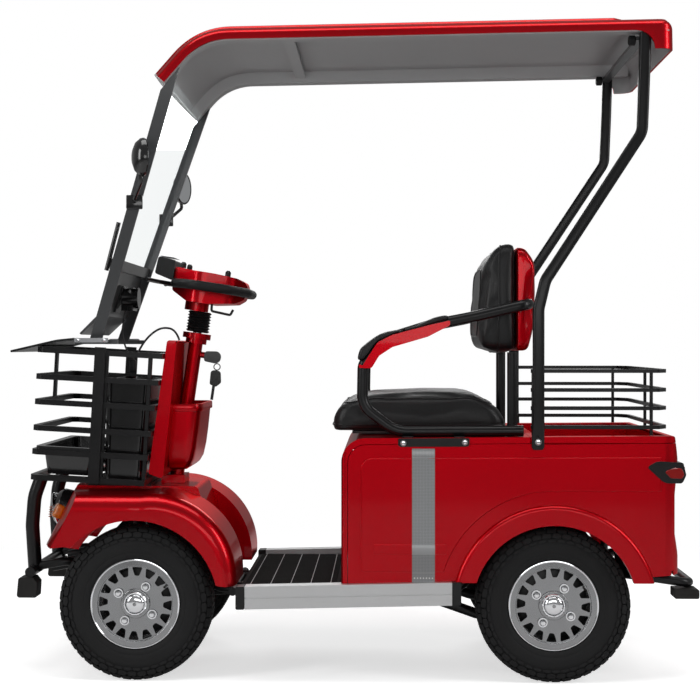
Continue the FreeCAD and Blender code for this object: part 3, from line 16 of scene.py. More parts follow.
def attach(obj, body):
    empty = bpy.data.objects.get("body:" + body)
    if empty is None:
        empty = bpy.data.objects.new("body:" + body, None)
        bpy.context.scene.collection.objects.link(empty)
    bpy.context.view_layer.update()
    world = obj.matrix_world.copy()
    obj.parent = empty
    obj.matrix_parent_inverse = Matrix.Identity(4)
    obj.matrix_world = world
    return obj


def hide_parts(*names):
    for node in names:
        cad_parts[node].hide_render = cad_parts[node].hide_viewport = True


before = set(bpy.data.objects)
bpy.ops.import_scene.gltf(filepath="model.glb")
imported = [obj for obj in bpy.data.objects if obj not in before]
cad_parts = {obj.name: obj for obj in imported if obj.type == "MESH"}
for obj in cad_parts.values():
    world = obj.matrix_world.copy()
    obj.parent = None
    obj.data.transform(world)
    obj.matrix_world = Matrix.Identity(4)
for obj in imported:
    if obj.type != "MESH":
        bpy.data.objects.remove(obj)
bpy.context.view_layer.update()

bl_info = {
    "name": "Mobility scooter looks",
    "version": (1, 0, 0),
    "blender": (4, 5, 0),
    "location": "View3D > Sidebar > Scooter",
    "description": "Finishes, tyres, cushions and fittings for the four-wheeled mobility scooter",
    "category": "Object",
}


# Places that the frame and the fittings share

TYRE_RADIUS = 0.204
FRONT_AXLE = Vector((-0.574, 0.0, TYRE_RADIUS))
REAR_AXLE = Vector((0.534, 0.0, TYRE_RADIUS))
HALF_TRACK = 0.272
STEERING_RAKE = math.radians(8.2)
STEERING_FRAME = Matrix.Translation(FRONT_AXLE) @ Matrix.Rotation(STEERING_RAKE, 4, "Y")
SIDES = (("left", -1.0), ("right", 1.0))
WHEEL_PLACES = [(end + "_" + label, axle, side)
                for end, axle in (("front", FRONT_AXLE), ("rear", REAR_AXLE)) for label, side in SIDES]


# What a user would change

def colour_property(name, description, default):
    return FloatVectorProperty(name=name, description=description, subtype="COLOR", size=3, min=0.0, max=1.0,
                               default=default)


def length_property(name, description, default):
    return FloatProperty(name=name, description=description, default=default, unit="LENGTH")


class ScooterColours(PropertyGroup):
    red: colour_property("Red paint", "Candy red of the body panels", (0.44, 0.0008, 0.0060))
    frame_black: colour_property("Frame black", "Powder coat of the tubes", (0.0055, 0.0055, 0.006))
    plastic_black: colour_property("Plastic black", "Moulded black pieces", (0.009, 0.009, 0.0095))
    vinyl_black: colour_property("Seat vinyl", "Cover of the seat and backrest", (0.010, 0.010, 0.0105))
    tyre_black: colour_property("Tyre", "Tyre rubber", (0.011, 0.011, 0.0115))
    pillar_grey: colour_property("Pillar grey", "Windscreen pillars", (0.052, 0.054, 0.057))
    liner_grey: colour_property("Liner grey", "Inside of the roof", (0.50, 0.505, 0.51))
    alloy: colour_property("Alloy", "Cast wheels", (0.31, 0.315, 0.322))
    aluminium: colour_property("Aluminium", "Running boards", (0.56, 0.565, 0.57))
    tape: colour_property("Reflective tape", "Stripe on the side panels", (0.21, 0.215, 0.22))
    amber: colour_property("Amber", "Front indicator lenses", (0.80, 0.22, 0.01))
    lens_red: colour_property("Lens red", "Tail light lenses", (0.45, 0.008, 0.006))


class ScooterSizes(PropertyGroup):
    tread_depth: length_property("Tread depth", "Depth of the tyre blocks", 0.0065)
    tread_blocks: IntProperty(name="Tread blocks", description="Blocks round the tyre in each row",
                              default=44, min=12)
    seam_width: length_property("Seam width", "Width of the seat's welts", 0.0042)
    mat_rib_pitch: length_property("Mat rib pitch", "Distance between the ribs of the floor mat", 0.0125)
    stripe_width: length_property("Stripe width", "Width of the reflective stripe", 0.060)


def colours():
    return bpy.context.scene.scooter_colours


def sizes():
    return bpy.context.scene.scooter_sizes


# Shared shader effects

def new_group(name, inputs, outputs):
    """Empty node group with (name, kind, default) inputs and (name, kind) outputs."""
    group = bpy.data.node_groups.new(name, "ShaderNodeTree")
    for label, kind, default in inputs:
        socket = group.interface.new_socket(name=label, in_out="INPUT", socket_type="NodeSocket" + kind)
        socket.default_value = default
    for label, kind in outputs:
        group.interface.new_socket(name=label, in_out="OUTPUT", socket_type="NodeSocket" + kind)
    return group, group.nodes.new("NodeGroupInput"), group.nodes.new("NodeGroupOutput")


def feed(tree, sockets, values):
    """Links the values that are sockets and sets the plain ones."""
    for socket, value in zip(sockets, values):
        if isinstance(value, bpy.types.NodeSocket):
            tree.links.new(value, socket)
        else:
            socket.default_value = value


def math_node(tree, operation, *values):
    node = tree.nodes.new("ShaderNodeMath")
    node.operation = operation
    feed(tree, node.inputs, values)
    return node.outputs[0]


def noise_node(tree, vector, scale, detail=3.0, roughness=0.5):
    node = tree.nodes.new("ShaderNodeTexNoise")
    sockets = [node.inputs[label] for label in ("Vector", "Scale", "Detail", "Roughness")]
    feed(tree, sockets, (vector, scale, detail, roughness))
    return node.outputs["Fac"]


def object_coordinates(tree):
    return tree.nodes.new("ShaderNodeTexCoord").outputs["Object"]


def cell_node(tree, scale, feature="F1"):
    node = tree.nodes.new("ShaderNodeTexVoronoi")
    node.feature = feature
    feed(tree, (node.inputs["Vector"], node.inputs["Scale"]), (object_coordinates(tree), scale))
    return node


def mix_colour(tree, factor, first, second):
    node = tree.nodes.new("ShaderNodeMix")
    node.data_type = "RGBA"
    feed(tree, (node.inputs[0], node.inputs[6], node.inputs[7]), (factor, first, second))
    return node.outputs[2]


def scale_colour(tree, colour, level):
    node = tree.nodes.new("ShaderNodeVectorMath")
    node.operation = "SCALE"
    feed(tree, (node.inputs[0], node.inputs["Scale"]), (colour, level))
    return node.outputs[0]


def around_zero(tree, value, amount):
    """A mask from 0 to 1 turned into plus or minus half the amount."""
    return math_node(tree, "MULTIPLY", math_node(tree, "SUBTRACT", value, 0.5), amount)


MID_GREY = (0.5, 0.5, 0.5, 1)
DUST_COLOUR = (0.17, 0.155, 0.135, 1)
BRUSH_STRETCH = (0.012, 1.0, 1.0)
TAPE_WALL = 0.09


def variation_group():
    """Slow colour drift plus fine speckle of one colour."""
    group, inlet, outlet = new_group(
        "Colour variation",
        [("Colour", "Color", MID_GREY), ("Drift", "Float", 0.1), ("Drift scale", "Float", 3.0),
         ("Speckle", "Float", 0.05), ("Speckle scale", "Float", 400.0)],
        [("Colour", "Color"), ("Mask", "Float")])
    place = object_coordinates(group)
    slow = noise_node(group, place, inlet.outputs["Drift scale"])
    fine = noise_node(group, place, inlet.outputs["Speckle scale"], 2.0)
    change = math_node(group, "ADD", around_zero(group, slow, inlet.outputs["Drift"]),
                       around_zero(group, fine, inlet.outputs["Speckle"]))
    level = math_node(group, "ADD", change, 1.0)
    feed(group, outlet.inputs, (scale_colour(group, inlet.outputs["Colour"], level), slow))
    return group


def dust_group():
    """Dust that settles low down and in patches, as a colour and a mask."""
    group, inlet, outlet = new_group(
        "Road dust",
        [("Colour", "Color", MID_GREY), ("Amount", "Float", 0.2), ("Reach", "Float", 0.35),
         ("Patch scale", "Float", 9.0)],
        [("Colour", "Color"), ("Mask", "Float")])
    place = object_coordinates(group)
    split = group.nodes.new("ShaderNodeSeparateXYZ")
    group.links.new(place, split.inputs[0])
    height = math_node(group, "DIVIDE", split.outputs["Z"], inlet.outputs["Reach"])
    low = math_node(group, "SUBTRACT", 1.0, height)
    low.node.use_clamp = True
    patch = noise_node(group, place, inlet.outputs["Patch scale"], 5.0, 0.6)
    mask = math_node(group, "MULTIPLY", math_node(group, "MULTIPLY", low, patch), inlet.outputs["Amount"])
    feed(group, outlet.inputs, (mix_colour(group, mask, inlet.outputs["Colour"], DUST_COLOUR), mask))
    return group


def grain_group():
    """Moulded grain: soft cells broken up by noise, as a height."""
    group, inlet, outlet = new_group(
        "Moulded grain", [("Scale", "Float", 600.0), ("Break up", "Float", 0.4)], [("Height", "Float")])
    cells = cell_node(group, inlet.outputs["Scale"], "SMOOTH_F1")
    noise = noise_node(group, object_coordinates(group), inlet.outputs["Scale"], 4.0)
    broken = math_node(group, "MULTIPLY", noise, inlet.outputs["Break up"])
    feed(group, outlet.inputs, (math_node(group, "ADD", cells.outputs["Distance"], broken),))
    return group


def brushed_group():
    """Fine lines along X, as a height."""
    group, inlet, outlet = new_group("Brushed lines", [("Scale", "Float", 900.0)], [("Height", "Float")])
    mapping = group.nodes.new("ShaderNodeMapping")
    mapping.inputs["Scale"].default_value = BRUSH_STRETCH
    group.links.new(object_coordinates(group), mapping.inputs["Vector"])
    feed(group, outlet.inputs, (noise_node(group, mapping.outputs[0], inlet.outputs["Scale"], 3.0, 0.6),))
    return group


def flake_group():
    """Metallic flakes in lacquer: small cells whose tone differs, as a value around one."""
    group, inlet, outlet = new_group("Metal flake", [("Scale", "Float", 2600.0), ("Strength", "Float", 0.3)],
                                     [("Tone", "Float")])
    split = group.nodes.new("ShaderNodeSeparateColor")
    group.links.new(cell_node(group, inlet.outputs["Scale"]).outputs["Color"], split.inputs[0])
    tone = around_zero(group, split.outputs[0], inlet.outputs["Strength"])
    feed(group, outlet.inputs, (math_node(group, "ADD", tone, 1.0),))
    return group


def tape_group():
    """Reflective sheet: small cells between thin pale walls, as a mask."""
    group, inlet, outlet = new_group("Reflective cells", [("Scale", "Float", 210.0)], [("Mask", "Float")])
    cells = cell_node(group, inlet.outputs["Scale"], "DISTANCE_TO_EDGE")
    cells.inputs["Randomness"].default_value = 0.0
    feed(group, outlet.inputs, (math_node(group, "LESS_THAN", cells.outputs["Distance"], TAPE_WALL),))
    return group


EFFECTS = {}


def build_effects():
    EFFECTS.update(variation=variation_group(), dust=dust_group(), grain=grain_group(),
                   brushed=brushed_group(), flake=flake_group(), tape=tape_group())


# Materials

class Finish:
    """A material under construction: its Principled shader and the groups placed before it."""

    def __init__(self, name, colour, roughness, metallic=0.0, **plain):
        self.material = bpy.data.materials.new(name)
        self.material.use_nodes = True
        self.tree = self.material.node_tree
        self.shader = self.tree.nodes["Principled BSDF"]
        self.colour = tuple(colour) + (1.0,)
        self.shader.inputs["Base Color"].default_value = self.colour
        self.shader.inputs["Roughness"].default_value = roughness
        self.shader.inputs["Metallic"].default_value = metallic
        for label, value in plain.items():
            self.shader.inputs[label.replace("_", " ")].default_value = value
        self.material.diffuse_color = self.colour

    def place(self, effect, **values):
        node = self.tree.nodes.new("ShaderNodeGroup")
        node.node_tree = EFFECTS[effect]
        for label, value in values.items():
            node.inputs[label.replace("_", " ")].default_value = value
        return node

    def vary(self, drift, drift_scale, speckle, speckle_scale):
        node = self.place("variation", Colour=self.colour, Drift=drift, Drift_scale=drift_scale,
                          Speckle=speckle, Speckle_scale=speckle_scale)
        self.tree.links.new(node.outputs["Colour"], self.shader.inputs["Base Color"])
        return node

    def dust(self, amount, reach, source):
        node = self.place("dust", Amount=amount, Reach=reach)
        self.tree.links.new(source.outputs["Colour"], node.inputs["Colour"])
        self.tree.links.new(node.outputs["Colour"], self.shader.inputs["Base Color"])
        return node

    def rough_between(self, low, high, mask):
        remap = self.tree.nodes.new("ShaderNodeMapRange")
        remap.inputs["To Min"].default_value = low
        remap.inputs["To Max"].default_value = high
        self.tree.links.new(mask, remap.inputs["Value"])
        self.tree.links.new(remap.outputs[0], self.shader.inputs["Roughness"])

    def bump(self, height, distance, strength=1.0):
        node = self.tree.nodes.new("ShaderNodeBump")
        node.inputs["Strength"].default_value = strength
        node.inputs["Distance"].default_value = distance
        self.tree.links.new(height, node.inputs["Height"])
        self.tree.links.new(node.outputs[0], self.shader.inputs["Normal"])

    def grain(self, scale, break_up, *height):
        """Moulded grain; height is its depth and, where it isn't full, its strength."""
        self.bump(self.place("grain", Scale=scale, Break_up=break_up).outputs["Height"], *height)

    def surface(self, variation, rough=None, grain=None):
        """The finished material.

        variation is (drift, its scale, speckle, its scale), rough the lowest and the highest roughness,
        and grain (scale, break-up, depth) with a strength where it isn't full.
        """
        drift = self.vary(*variation)
        if rough:
            self.rough_between(*rough, drift.outputs["Mask"])
        if grain:
            self.grain(*grain)
        return self.material


def red_paint():
    finish = Finish("Candy red paint", colours().red, 0.36, 0.90, Coat_Weight=0.36, Coat_Roughness=0.03,
                    Coat_IOR=1.45, Specular_Tint=(1.0, 0.05, 0.06, 1.0))
    drift = finish.vary(0.10, 2.5, 0.0, 300.0)
    flake = finish.place("flake", Scale=1500.0, Strength=0.35)
    flaked = scale_colour(finish.tree, drift.outputs["Colour"], flake.outputs["Tone"])
    finish.tree.links.new(flaked, finish.shader.inputs["Base Color"])
    finish.rough_between(0.30, 0.40, drift.outputs["Mask"])
    return finish.material


def powder_coat():
    finish = Finish("Black powder coat", colours().frame_black, 0.34, Coat_Weight=0.10, Coat_Roughness=0.16,
                    Specular_IOR_Level=0.25)
    return finish.surface((0.35, 14.0, 0.25, 900.0), rough=(0.24, 0.40), grain=(700.0, 0.8, 0.00006))


def moulded_black():
    finish = Finish("Moulded black plastic", colours().plastic_black, 0.36, Specular_IOR_Level=0.30)
    return finish.surface((0.3, 8.0, 0.2, 700.0), rough=(0.30, 0.46), grain=(1100.0, 0.5, 0.00007))


def gloss_black():
    finish = Finish("Gloss black moulding", colours().plastic_black, 0.14, Coat_Weight=0.35,
                    Coat_Roughness=0.06)
    return finish.surface((0.3, 6.0, 0.1, 500.0), rough=(0.10, 0.22))


def rubber():
    finish = Finish("Black rubber", colours().plastic_black, 0.70, Specular_IOR_Level=0.25)
    dusted = finish.dust(0.25, 0.5, finish.vary(0.3, 10.0, 0.35, 500.0))
    finish.rough_between(0.60, 0.82, dusted.outputs["Mask"])
    finish.grain(420.0, 0.9, 0.00012)
    return finish.material


def tyre_rubber():
    finish = Finish("Tyre rubber", colours().tyre_black, 0.72, Specular_IOR_Level=0.3)
    return finish.surface((0.4, 12.0, 0.5, 420.0), rough=(0.62, 0.85), grain=(330.0, 1.2, 0.00022))


def vinyl():
    finish = Finish("Black seat vinyl", colours().vinyl_black, 0.40, Specular_IOR_Level=0.3,
                    Sheen_Weight=0.06, Sheen_Roughness=0.4)
    return finish.surface((0.3, 7.0, 0.15, 300.0), rough=(0.34, 0.50), grain=(260.0, 0.7, 0.00035, 0.8))


def alloy():
    finish = Finish("Cast alloy", colours().alloy, 0.24, 1.0)
    return finish.surface((0.14, 16.0, 0.05, 500.0), rough=(0.17, 0.30), grain=(900.0, 0.6, 0.00003))


def chrome():
    finish = Finish("Chrome", (0.80, 0.81, 0.83), 0.07, 1.0)
    return finish.surface((0.06, 20.0, 0.03, 400.0), rough=(0.05, 0.12))


def plated_steel():
    finish = Finish("Plated steel", (0.36, 0.365, 0.38), 0.32, 1.0)
    drift = finish.vary(0.35, 18.0, 0.1, 500.0)
    finish.dust(0.25, 0.5, drift)
    finish.rough_between(0.26, 0.48, drift.outputs["Mask"])
    return finish.material


def brushed_aluminium():
    finish = Finish("Brushed aluminium", colours().aluminium, 0.34, 0.85)
    finish.vary(0.10, 5.0, 0.04, 300.0)
    lines = finish.place("brushed", Scale=900.0)
    finish.rough_between(0.26, 0.46, lines.outputs["Height"])
    finish.bump(lines.outputs["Height"], 0.00006)
    return finish.material


def pillar_grey():
    finish = Finish("Grey pillar paint", colours().pillar_grey, 0.34, 0.25, Coat_Weight=0.4,
                    Coat_Roughness=0.15)
    return finish.surface((0.15, 5.0, 0.08, 900.0), rough=(0.28, 0.42), grain=(1000.0, 0.5, 0.00004))


def liner_grey():
    finish = Finish("Grey roof liner", colours().liner_grey, 0.38, Coat_Weight=0.15, Coat_Roughness=0.3)
    return finish.surface((0.16, 3.0, 0.06, 500.0), rough=(0.30, 0.48), grain=(300.0, 0.8, 0.00012))


def clear_sheet():
    finish = Finish("Clear screen", (0.93, 0.95, 0.95), 0.01, Transmission_Weight=1.0, IOR=1.02)
    return finish.surface((0.02, 4.0, 0.0, 100.0))


def lamp_glass():
    finish = Finish("Lamp lens", (0.93, 0.94, 0.95), 0.03, Transmission_Weight=1.0, IOR=1.45)
    return finish.surface((0.04, 20.0, 0.0, 100.0))


def coloured_lens(name, colour):
    finish = Finish(name, colour, 0.10, Transmission_Weight=0.25, IOR=1.45, Coat_Weight=0.6,
                    Coat_Roughness=0.03)
    return finish.surface((0.2, 25.0, 0.0, 100.0), rough=(0.06, 0.14))


def mirror_glass():
    return Finish("Mirror glass", (0.80, 0.82, 0.84), 0.02, 1.0).surface((0.03, 20.0, 0.0, 100.0))


def reflective_tape():
    finish = Finish("Reflective tape", colours().tape, 0.34, 0.35, Coat_Weight=0.5, Coat_Roughness=0.2)
    cells = finish.place("tape", Scale=260.0)
    pale = tuple(min(1.0, channel * 1.7) for channel in colours().tape) + (1.0,)
    mixed = mix_colour(finish.tree, cells.outputs["Mask"], finish.colour, pale)
    finish.tree.links.new(mixed, finish.shader.inputs["Base Color"])
    finish.rough_between(0.28, 0.5, cells.outputs["Mask"])
    return finish.material


def white_dot():
    return Finish("White print", (0.75, 0.75, 0.74), 0.35).surface((0.05, 40.0, 0.0, 100.0))


def mat_rubber():
    finish = Finish("Floor mat rubber", (0.006, 0.006, 0.006), 0.66, Specular_IOR_Level=0.05)
    finish.dust(0.10, 0.6, finish.vary(0.3, 8.0, 0.4, 420.0))
    finish.grain(420.0, 0.9, 0.00012)
    return finish.material


def cable_jacket():
    return Finish("Cable jacket", (0.02, 0.02, 0.022), 0.45).surface((0.2, 20.0, 0.1, 400.0))


def dark_screen():
    finish = Finish("Dark display", (0.012, 0.020, 0.055), 0.06, Coat_Weight=1.0, Coat_Roughness=0.02)
    return finish.surface((0.6, 30.0, 0.0, 100.0))


MATERIALS = {}


def build_materials():
    makers = {
        "red": red_paint, "powder": powder_coat, "plastic": moulded_black, "gloss_black": gloss_black,
        "rubber": rubber, "tyre": tyre_rubber, "vinyl": vinyl, "alloy": alloy, "chrome": chrome,
        "steel": plated_steel, "aluminium": brushed_aluminium, "pillar": pillar_grey, "liner": liner_grey,
        "clear": clear_sheet, "lamp": lamp_glass, "mirror": mirror_glass, "tape": reflective_tape,
        "cable": cable_jacket, "screen": dark_screen, "white": white_dot, "mat": mat_rubber,
    }
    for key, make in makers.items():
        MATERIALS[key] = make()
    MATERIALS["amber"] = coloured_lens("Amber lens", colours().amber)
    MATERIALS["red_lens"] = coloured_lens("Red lens", colours().lens_red)


# Finish of each carried-over node
NODE_FINISH = {
    "red": ("front_fender", "leg_shield", "storage_bin", "tiller_head", "roof_shell", "side_panel_left",
            "side_panel_right", "body_cover", "rear_panel", "backrest_shell", "armrest_covers", "column_tube",
            "cargo_tub"),
    "powder": ("front_axle", "suspension", "chassis_frame", "rear_axle", "bumpers", "basket_frame",
               "roof_posts", "seat_frame", "cargo_rack", "basket_lid"),
    "plastic": ("battery", "running_board_caps", "tiller_controls"),
    "gloss_black": ("basket_liners", "mirrors", "tail_lights", "headlight", "wiper", "keys"),
    "rubber": ("tiller_bellows", "bumper_blocks", "tiller_grip", "armrest_pads", "floor_mat"),
    "vinyl": ("seat_cushion", "backrest_cushion"),
    "tyre": tuple("tyre_" + place for place, _, _ in WHEEL_PLACES),
    "alloy": tuple("rim_" + place for place, _, _ in WHEEL_PLACES),
    "steel": ("knuckle_left", "knuckle_right", "tie_rod", "steering_shaft"),
    "aluminium": ("running_boards",),
    "pillar": ("windscreen_frame",),
    "liner": ("roof_liner",),
    "clear": ("windscreen",),
    "amber": ("indicators",),
    "cable": ("cables",),
}


def finish_nodes():
    for key, names in NODE_FINISH.items():
        for name in names:
            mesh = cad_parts[name].data
            mesh.materials.clear()
            mesh.materials.append(MATERIALS[key])


# Mesh making

SHARP_ANGLE = math.radians(36)


class Maker:
    """Collects shapes in one mesh and turns them into one piece that rides on a body."""

    def __init__(self):
        self.mesh = bmesh.new()

    def block(self, size, place=Matrix.Identity(4), bevel=0.0, segments=2):
        made = bmesh.ops.create_cube(self.mesh, size=1.0)["verts"]
        bmesh.ops.scale(self.mesh, vec=Vector(size), verts=made)
        if bevel > 0:
            edges = list({edge for vertex in made for edge in vertex.link_edges})
            result = bmesh.ops.bevel(self.mesh, geom=edges, offset=bevel, segments=segments, profile=0.5,
                                     affect="EDGES")
            made = list({vertex for face in result["faces"] for vertex in face.verts} |
                        {vertex for vertex in made if vertex.is_valid})
        bmesh.ops.transform(self.mesh, matrix=place, verts=made)
        return self

    def turned(self, profile, steps, place=Matrix.Identity(4), closed=True):
        """Surface of a (radius, along) profile about local Z; closed joins its last point to its first."""
        rings = []
        for index in range(steps):
            angle = 2 * math.pi * index / steps
            spots = [Vector((radius * math.cos(angle), radius * math.sin(angle), along))
                     for radius, along in profile]
            rings.append([self.mesh.verts.new(place @ spot) for spot in spots])
        count = len(profile)
        last = count if closed else count - 1
        for index in range(steps):
            ring, following = rings[index], rings[(index + 1) % steps]
            for step in range(last):
                after = (step + 1) % count
                self.mesh.faces.new((ring[step], following[step], following[after], ring[after]))
        bmesh.ops.remove_doubles(self.mesh, verts=[vertex for ring in rings for vertex in ring], dist=1e-6)
        return self

    def join(self, rings, closed=False):
        """Faces between neighbouring rings, and over both ends unless the rings run in a circle."""
        for ring, following in zip(rings, rings[1:] + (rings[:1] if closed else [])):
            for corner in range(len(ring)):
                after = (corner + 1) % len(ring)
                self.mesh.faces.new((ring[corner], ring[after], following[after], following[corner]))
        if not closed:
            self.mesh.faces.new(list(reversed(rings[0])))
            self.mesh.faces.new(rings[-1])
        return self

    def tube(self, points, radius, sides=10, closed=False):
        """Round bar along the points."""
        path = [Vector(point) for point in points]
        around = [2 * math.pi * side / sides for side in range(sides)]
        rings = []
        across = None
        for point, along in zip(path, directions(path, closed)):
            if across is None:
                across = along.orthogonal().normalized()
            across = (across - along * across.dot(along)).normalized()
            up = along.cross(across)
            arms = [across * math.cos(a) * radius + up * math.sin(a) * radius for a in around]
            rings.append([self.mesh.verts.new(point + arm) for arm in arms])
        return self.join(rings, closed)

    def sweep(self, points, section, side=Vector((0, 1, 0)), scale=None):
        """Bar along the points with a closed (across, side) section; scale has a pair of factors a point."""
        path = [Vector(point) for point in points]
        rings = []
        for index, (point, along) in enumerate(zip(path, directions(path))):
            level = (side - along * side.dot(along)).normalized()
            across = along.cross(level)
            wide, thick = scale[index] if scale else (1.0, 1.0)
            rings.append([self.mesh.verts.new(point + across * u * wide + level * v * thick)
                          for u, v in section])
        return self.join(rings)

    def skin(self, sections):
        """Surface through closed sections that have as many points each."""
        return self.join([[self.mesh.verts.new(Vector(point)) for point in section] for section in sections])

    def hexagon(self, radius, height, place):
        """Domed bolt head with a washer, standing on local z = 0."""
        washer, crown = height * 0.22, height * 1.15
        self.turned([(0, 0), (radius * 1.35, 0), (radius * 1.35, washer), (0, washer)], 20, place)
        self.turned([(radius * 0.93, washer), (radius, height * 0.30), (radius, height * 0.85),
                     (radius * 0.86, height), (0, crown), (0, washer)], 6, place)
        return self

    def plate(self, outline, near, far, bevel):
        """Flat piece with rounded (x, z, radius) corners from y = near to y = far, its edges eased."""
        points = rounded([((x, z), radius) for x, z, radius in outline], 4, True)
        centre = sum(points, Vector((0, 0))) / len(points)
        turn = 1 if far > near else -1
        sections = []
        for y, inset in ((near, bevel), (near + turn * bevel, 0.0), (far - turn * bevel, 0.0), (far, bevel)):
            section = []
            for point in points:
                arm = point - centre
                place = centre + arm * (1 - inset / max(arm.length, inset * 2 + 1e-6))
                section.append((place.x, y, place.y))
            sections.append(section)
        return self.skin(sections)

    def make(self, name, body, material, slot, replaces=(), second=None):
        """The piece; second is another material and the test that says which faces have it."""
        bmesh.ops.recalc_face_normals(self.mesh, faces=self.mesh.faces)
        for face in self.mesh.faces:
            face.smooth = True
            if second:
                face.material_index = int(second[1](face))
        for edge in self.mesh.edges:
            if len(edge.link_faces) != 2 or edge.calc_face_angle(0.0) > SHARP_ANGLE:
                edge.smooth = False
        data = bpy.data.meshes.new(name)
        self.mesh.to_mesh(data)
        self.mesh.free()
        data.materials.append(MATERIALS[material])
        if second:
            data.materials.append(MATERIALS[second[0]])
        piece = bpy.data.objects.new(name, data)
        bpy.context.scene.collection.objects.link(piece)
        place_piece(piece, body, replaces)
        return piece


def place_piece(piece, body, replaces=()):
    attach(piece, body)
    if replaces:
        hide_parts(*replaces)


def directions(path, closed=False):
    """Direction of the path at each of its points."""
    count = len(path)
    found = []
    for index, point in enumerate(path):
        before = path[index - 1] if index or closed else point
        after = path[(index + 1) % count] if closed or index < count - 1 else point
        found.append((after - before).normalized())
    return found


def facing(point, direction):
    """Matrix whose local Z points along the direction from the given point."""
    rotation = Vector(direction).to_track_quat("Z", "Y").to_matrix().to_4x4()
    return Matrix.Translation(Vector(point)) @ rotation


def at(x, y, z):
    return Matrix.Translation((x, y, z))


def rounded(corners, steps=5, closed=False):
    """Points through (point, radius) corners, each inner corner with a radius eased into a curve."""
    places = [Vector(point) for point, _ in corners]
    points = []
    for index, (_, radius) in enumerate(corners):
        here = places[index]
        if not radius or (not closed and index in (0, len(places) - 1)):
            points.append(here)
            continue
        before = places[index - 1] - here
        after = places[(index + 1) % len(places)] - here
        half = before.angle(after) / 2
        reach = min(radius / math.tan(half), before.length * 0.48, after.length * 0.48)
        start, end = here + before.normalized() * reach, here + after.normalized() * reach
        for step in range(steps + 1):
            t = step / steps
            points.append(start * (1 - t) ** 2 + here * 2 * t * (1 - t) + end * t * t)
    return points


def flip(points, side):
    """The left side's points carried over to the given side."""
    return [(x, -side * y, z) for x, y, z in points]


def spread(points, count):
    """The closed line through the points, divided into equal steps."""
    line = list(points) + [points[0]]
    lengths = [0.0]
    for first, second in zip(line, line[1:]):
        lengths.append(lengths[-1] + (second - first).length)
    places = []
    index = 0
    for step in range(count):
        target = lengths[-1] * step / count
        while lengths[index + 1] < target:
            index += 1
        share = (target - lengths[index]) / max(lengths[index + 1] - lengths[index], 1e-9)
        places.append(line[index].lerp(line[index + 1], share))
    return places


# Stage

CAMERA_PLACE = Vector((0.0895, -4.015, 0.8915))
CAMERA_LOOK = Vector((-0.0250, 1.0, -0.00357))
CAMERA_LENS_MM = 72.0
LAMPS = (
    # name, place, aim, width, height, watts
    ("Overhead softbox", (0.0, -0.6, 4.0), (0.0, 0.0, 0.8), 4.0, 1.8, 74.0),
    ("Front softbox", (-3.4, -2.2, 2.0), (-0.3, 0.0, 0.7), 1.0, 2.4, 48.0),
    ("Rear softbox", (3.6, -1.4, 2.2), (0.5, 0.0, 0.7), 0.9, 2.4, 44.0),
    ("Camera fill", (0.3, -4.6, 1.35), (0.0, 0.0, 0.7), 3.4, 0.9, 28.0),
    ("Far side fill", (0.2, 4.0, 2.6), (0.0, 0.0, 0.7), 3.4, 1.2, 46.0),
)
CAMERA_SENSOR_MM = 36.0
CAMERA_REACH = 60.0
LIGHTING_WORLD = 0.10
MIRRORED_WORLD = 0.27
FLOOR_REACH = 14.0
FLOOR_PALE = (0.90, 0.90, 0.90, 1)
FLOOR_DIM = (0.30, 0.30, 0.30, 1)
FLOOR_LIFT = 0.62
FLOOR_CLEAR_FROM = 1.25
FLOOR_CLEAR_TO = 2.6


def mix_shader(tree, factor, first, second):
    node = tree.nodes.new("ShaderNodeMixShader")
    feed(tree, node.inputs, (factor, first, second))
    return node.outputs[0]


def glow(tree, strength):
    node = tree.nodes.new("ShaderNodeEmission")
    node.inputs["Strength"].default_value = strength
    return node.outputs[0]


def floor_material():
    """Pale floor, white to the camera and through glass but for its shadow, and dim to scattered light."""
    material = bpy.data.materials.new("Pale studio floor")
    material.use_nodes = True
    tree = material.node_tree
    shader = tree.nodes["Principled BSDF"]
    shader.inputs["Base Color"].default_value = FLOOR_PALE
    shader.inputs["Roughness"].default_value = 0.6
    shader.inputs["Specular IOR Level"].default_value = 0.1
    pale = shader.outputs[0]
    dim = tree.nodes.new("ShaderNodeBsdfDiffuse")
    dim.inputs["Color"].default_value = FLOOR_DIM
    lifted = tree.nodes.new("ShaderNodeAddShader")
    feed(tree, lifted.inputs, (pale, glow(tree, FLOOR_LIFT)))
    distance = tree.nodes.new("ShaderNodeVectorMath")
    distance.operation = "LENGTH"
    tree.links.new(object_coordinates(tree), distance.inputs[0])
    fade = tree.nodes.new("ShaderNodeMapRange")
    fade.interpolation_type = "SMOOTHSTEP"
    fade.inputs["From Min"].default_value = FLOOR_CLEAR_FROM
    fade.inputs["From Max"].default_value = FLOOR_CLEAR_TO
    tree.links.new(distance.outputs["Value"], fade.inputs["Value"])
    seen = mix_shader(tree, fade.outputs[0], lifted.outputs[0], glow(tree, 1.0))
    path = tree.nodes.new("ShaderNodeLightPath")
    direct = math_node(tree, "MAXIMUM", path.outputs["Is Camera Ray"], path.outputs["Is Transmission Ray"])
    mirrored = mix_shader(tree, path.outputs["Is Glossy Ray"], dim.outputs[0], pale)
    tree.links.new(mix_shader(tree, direct, mirrored, seen), tree.nodes["Material Output"].inputs["Surface"])
    return material


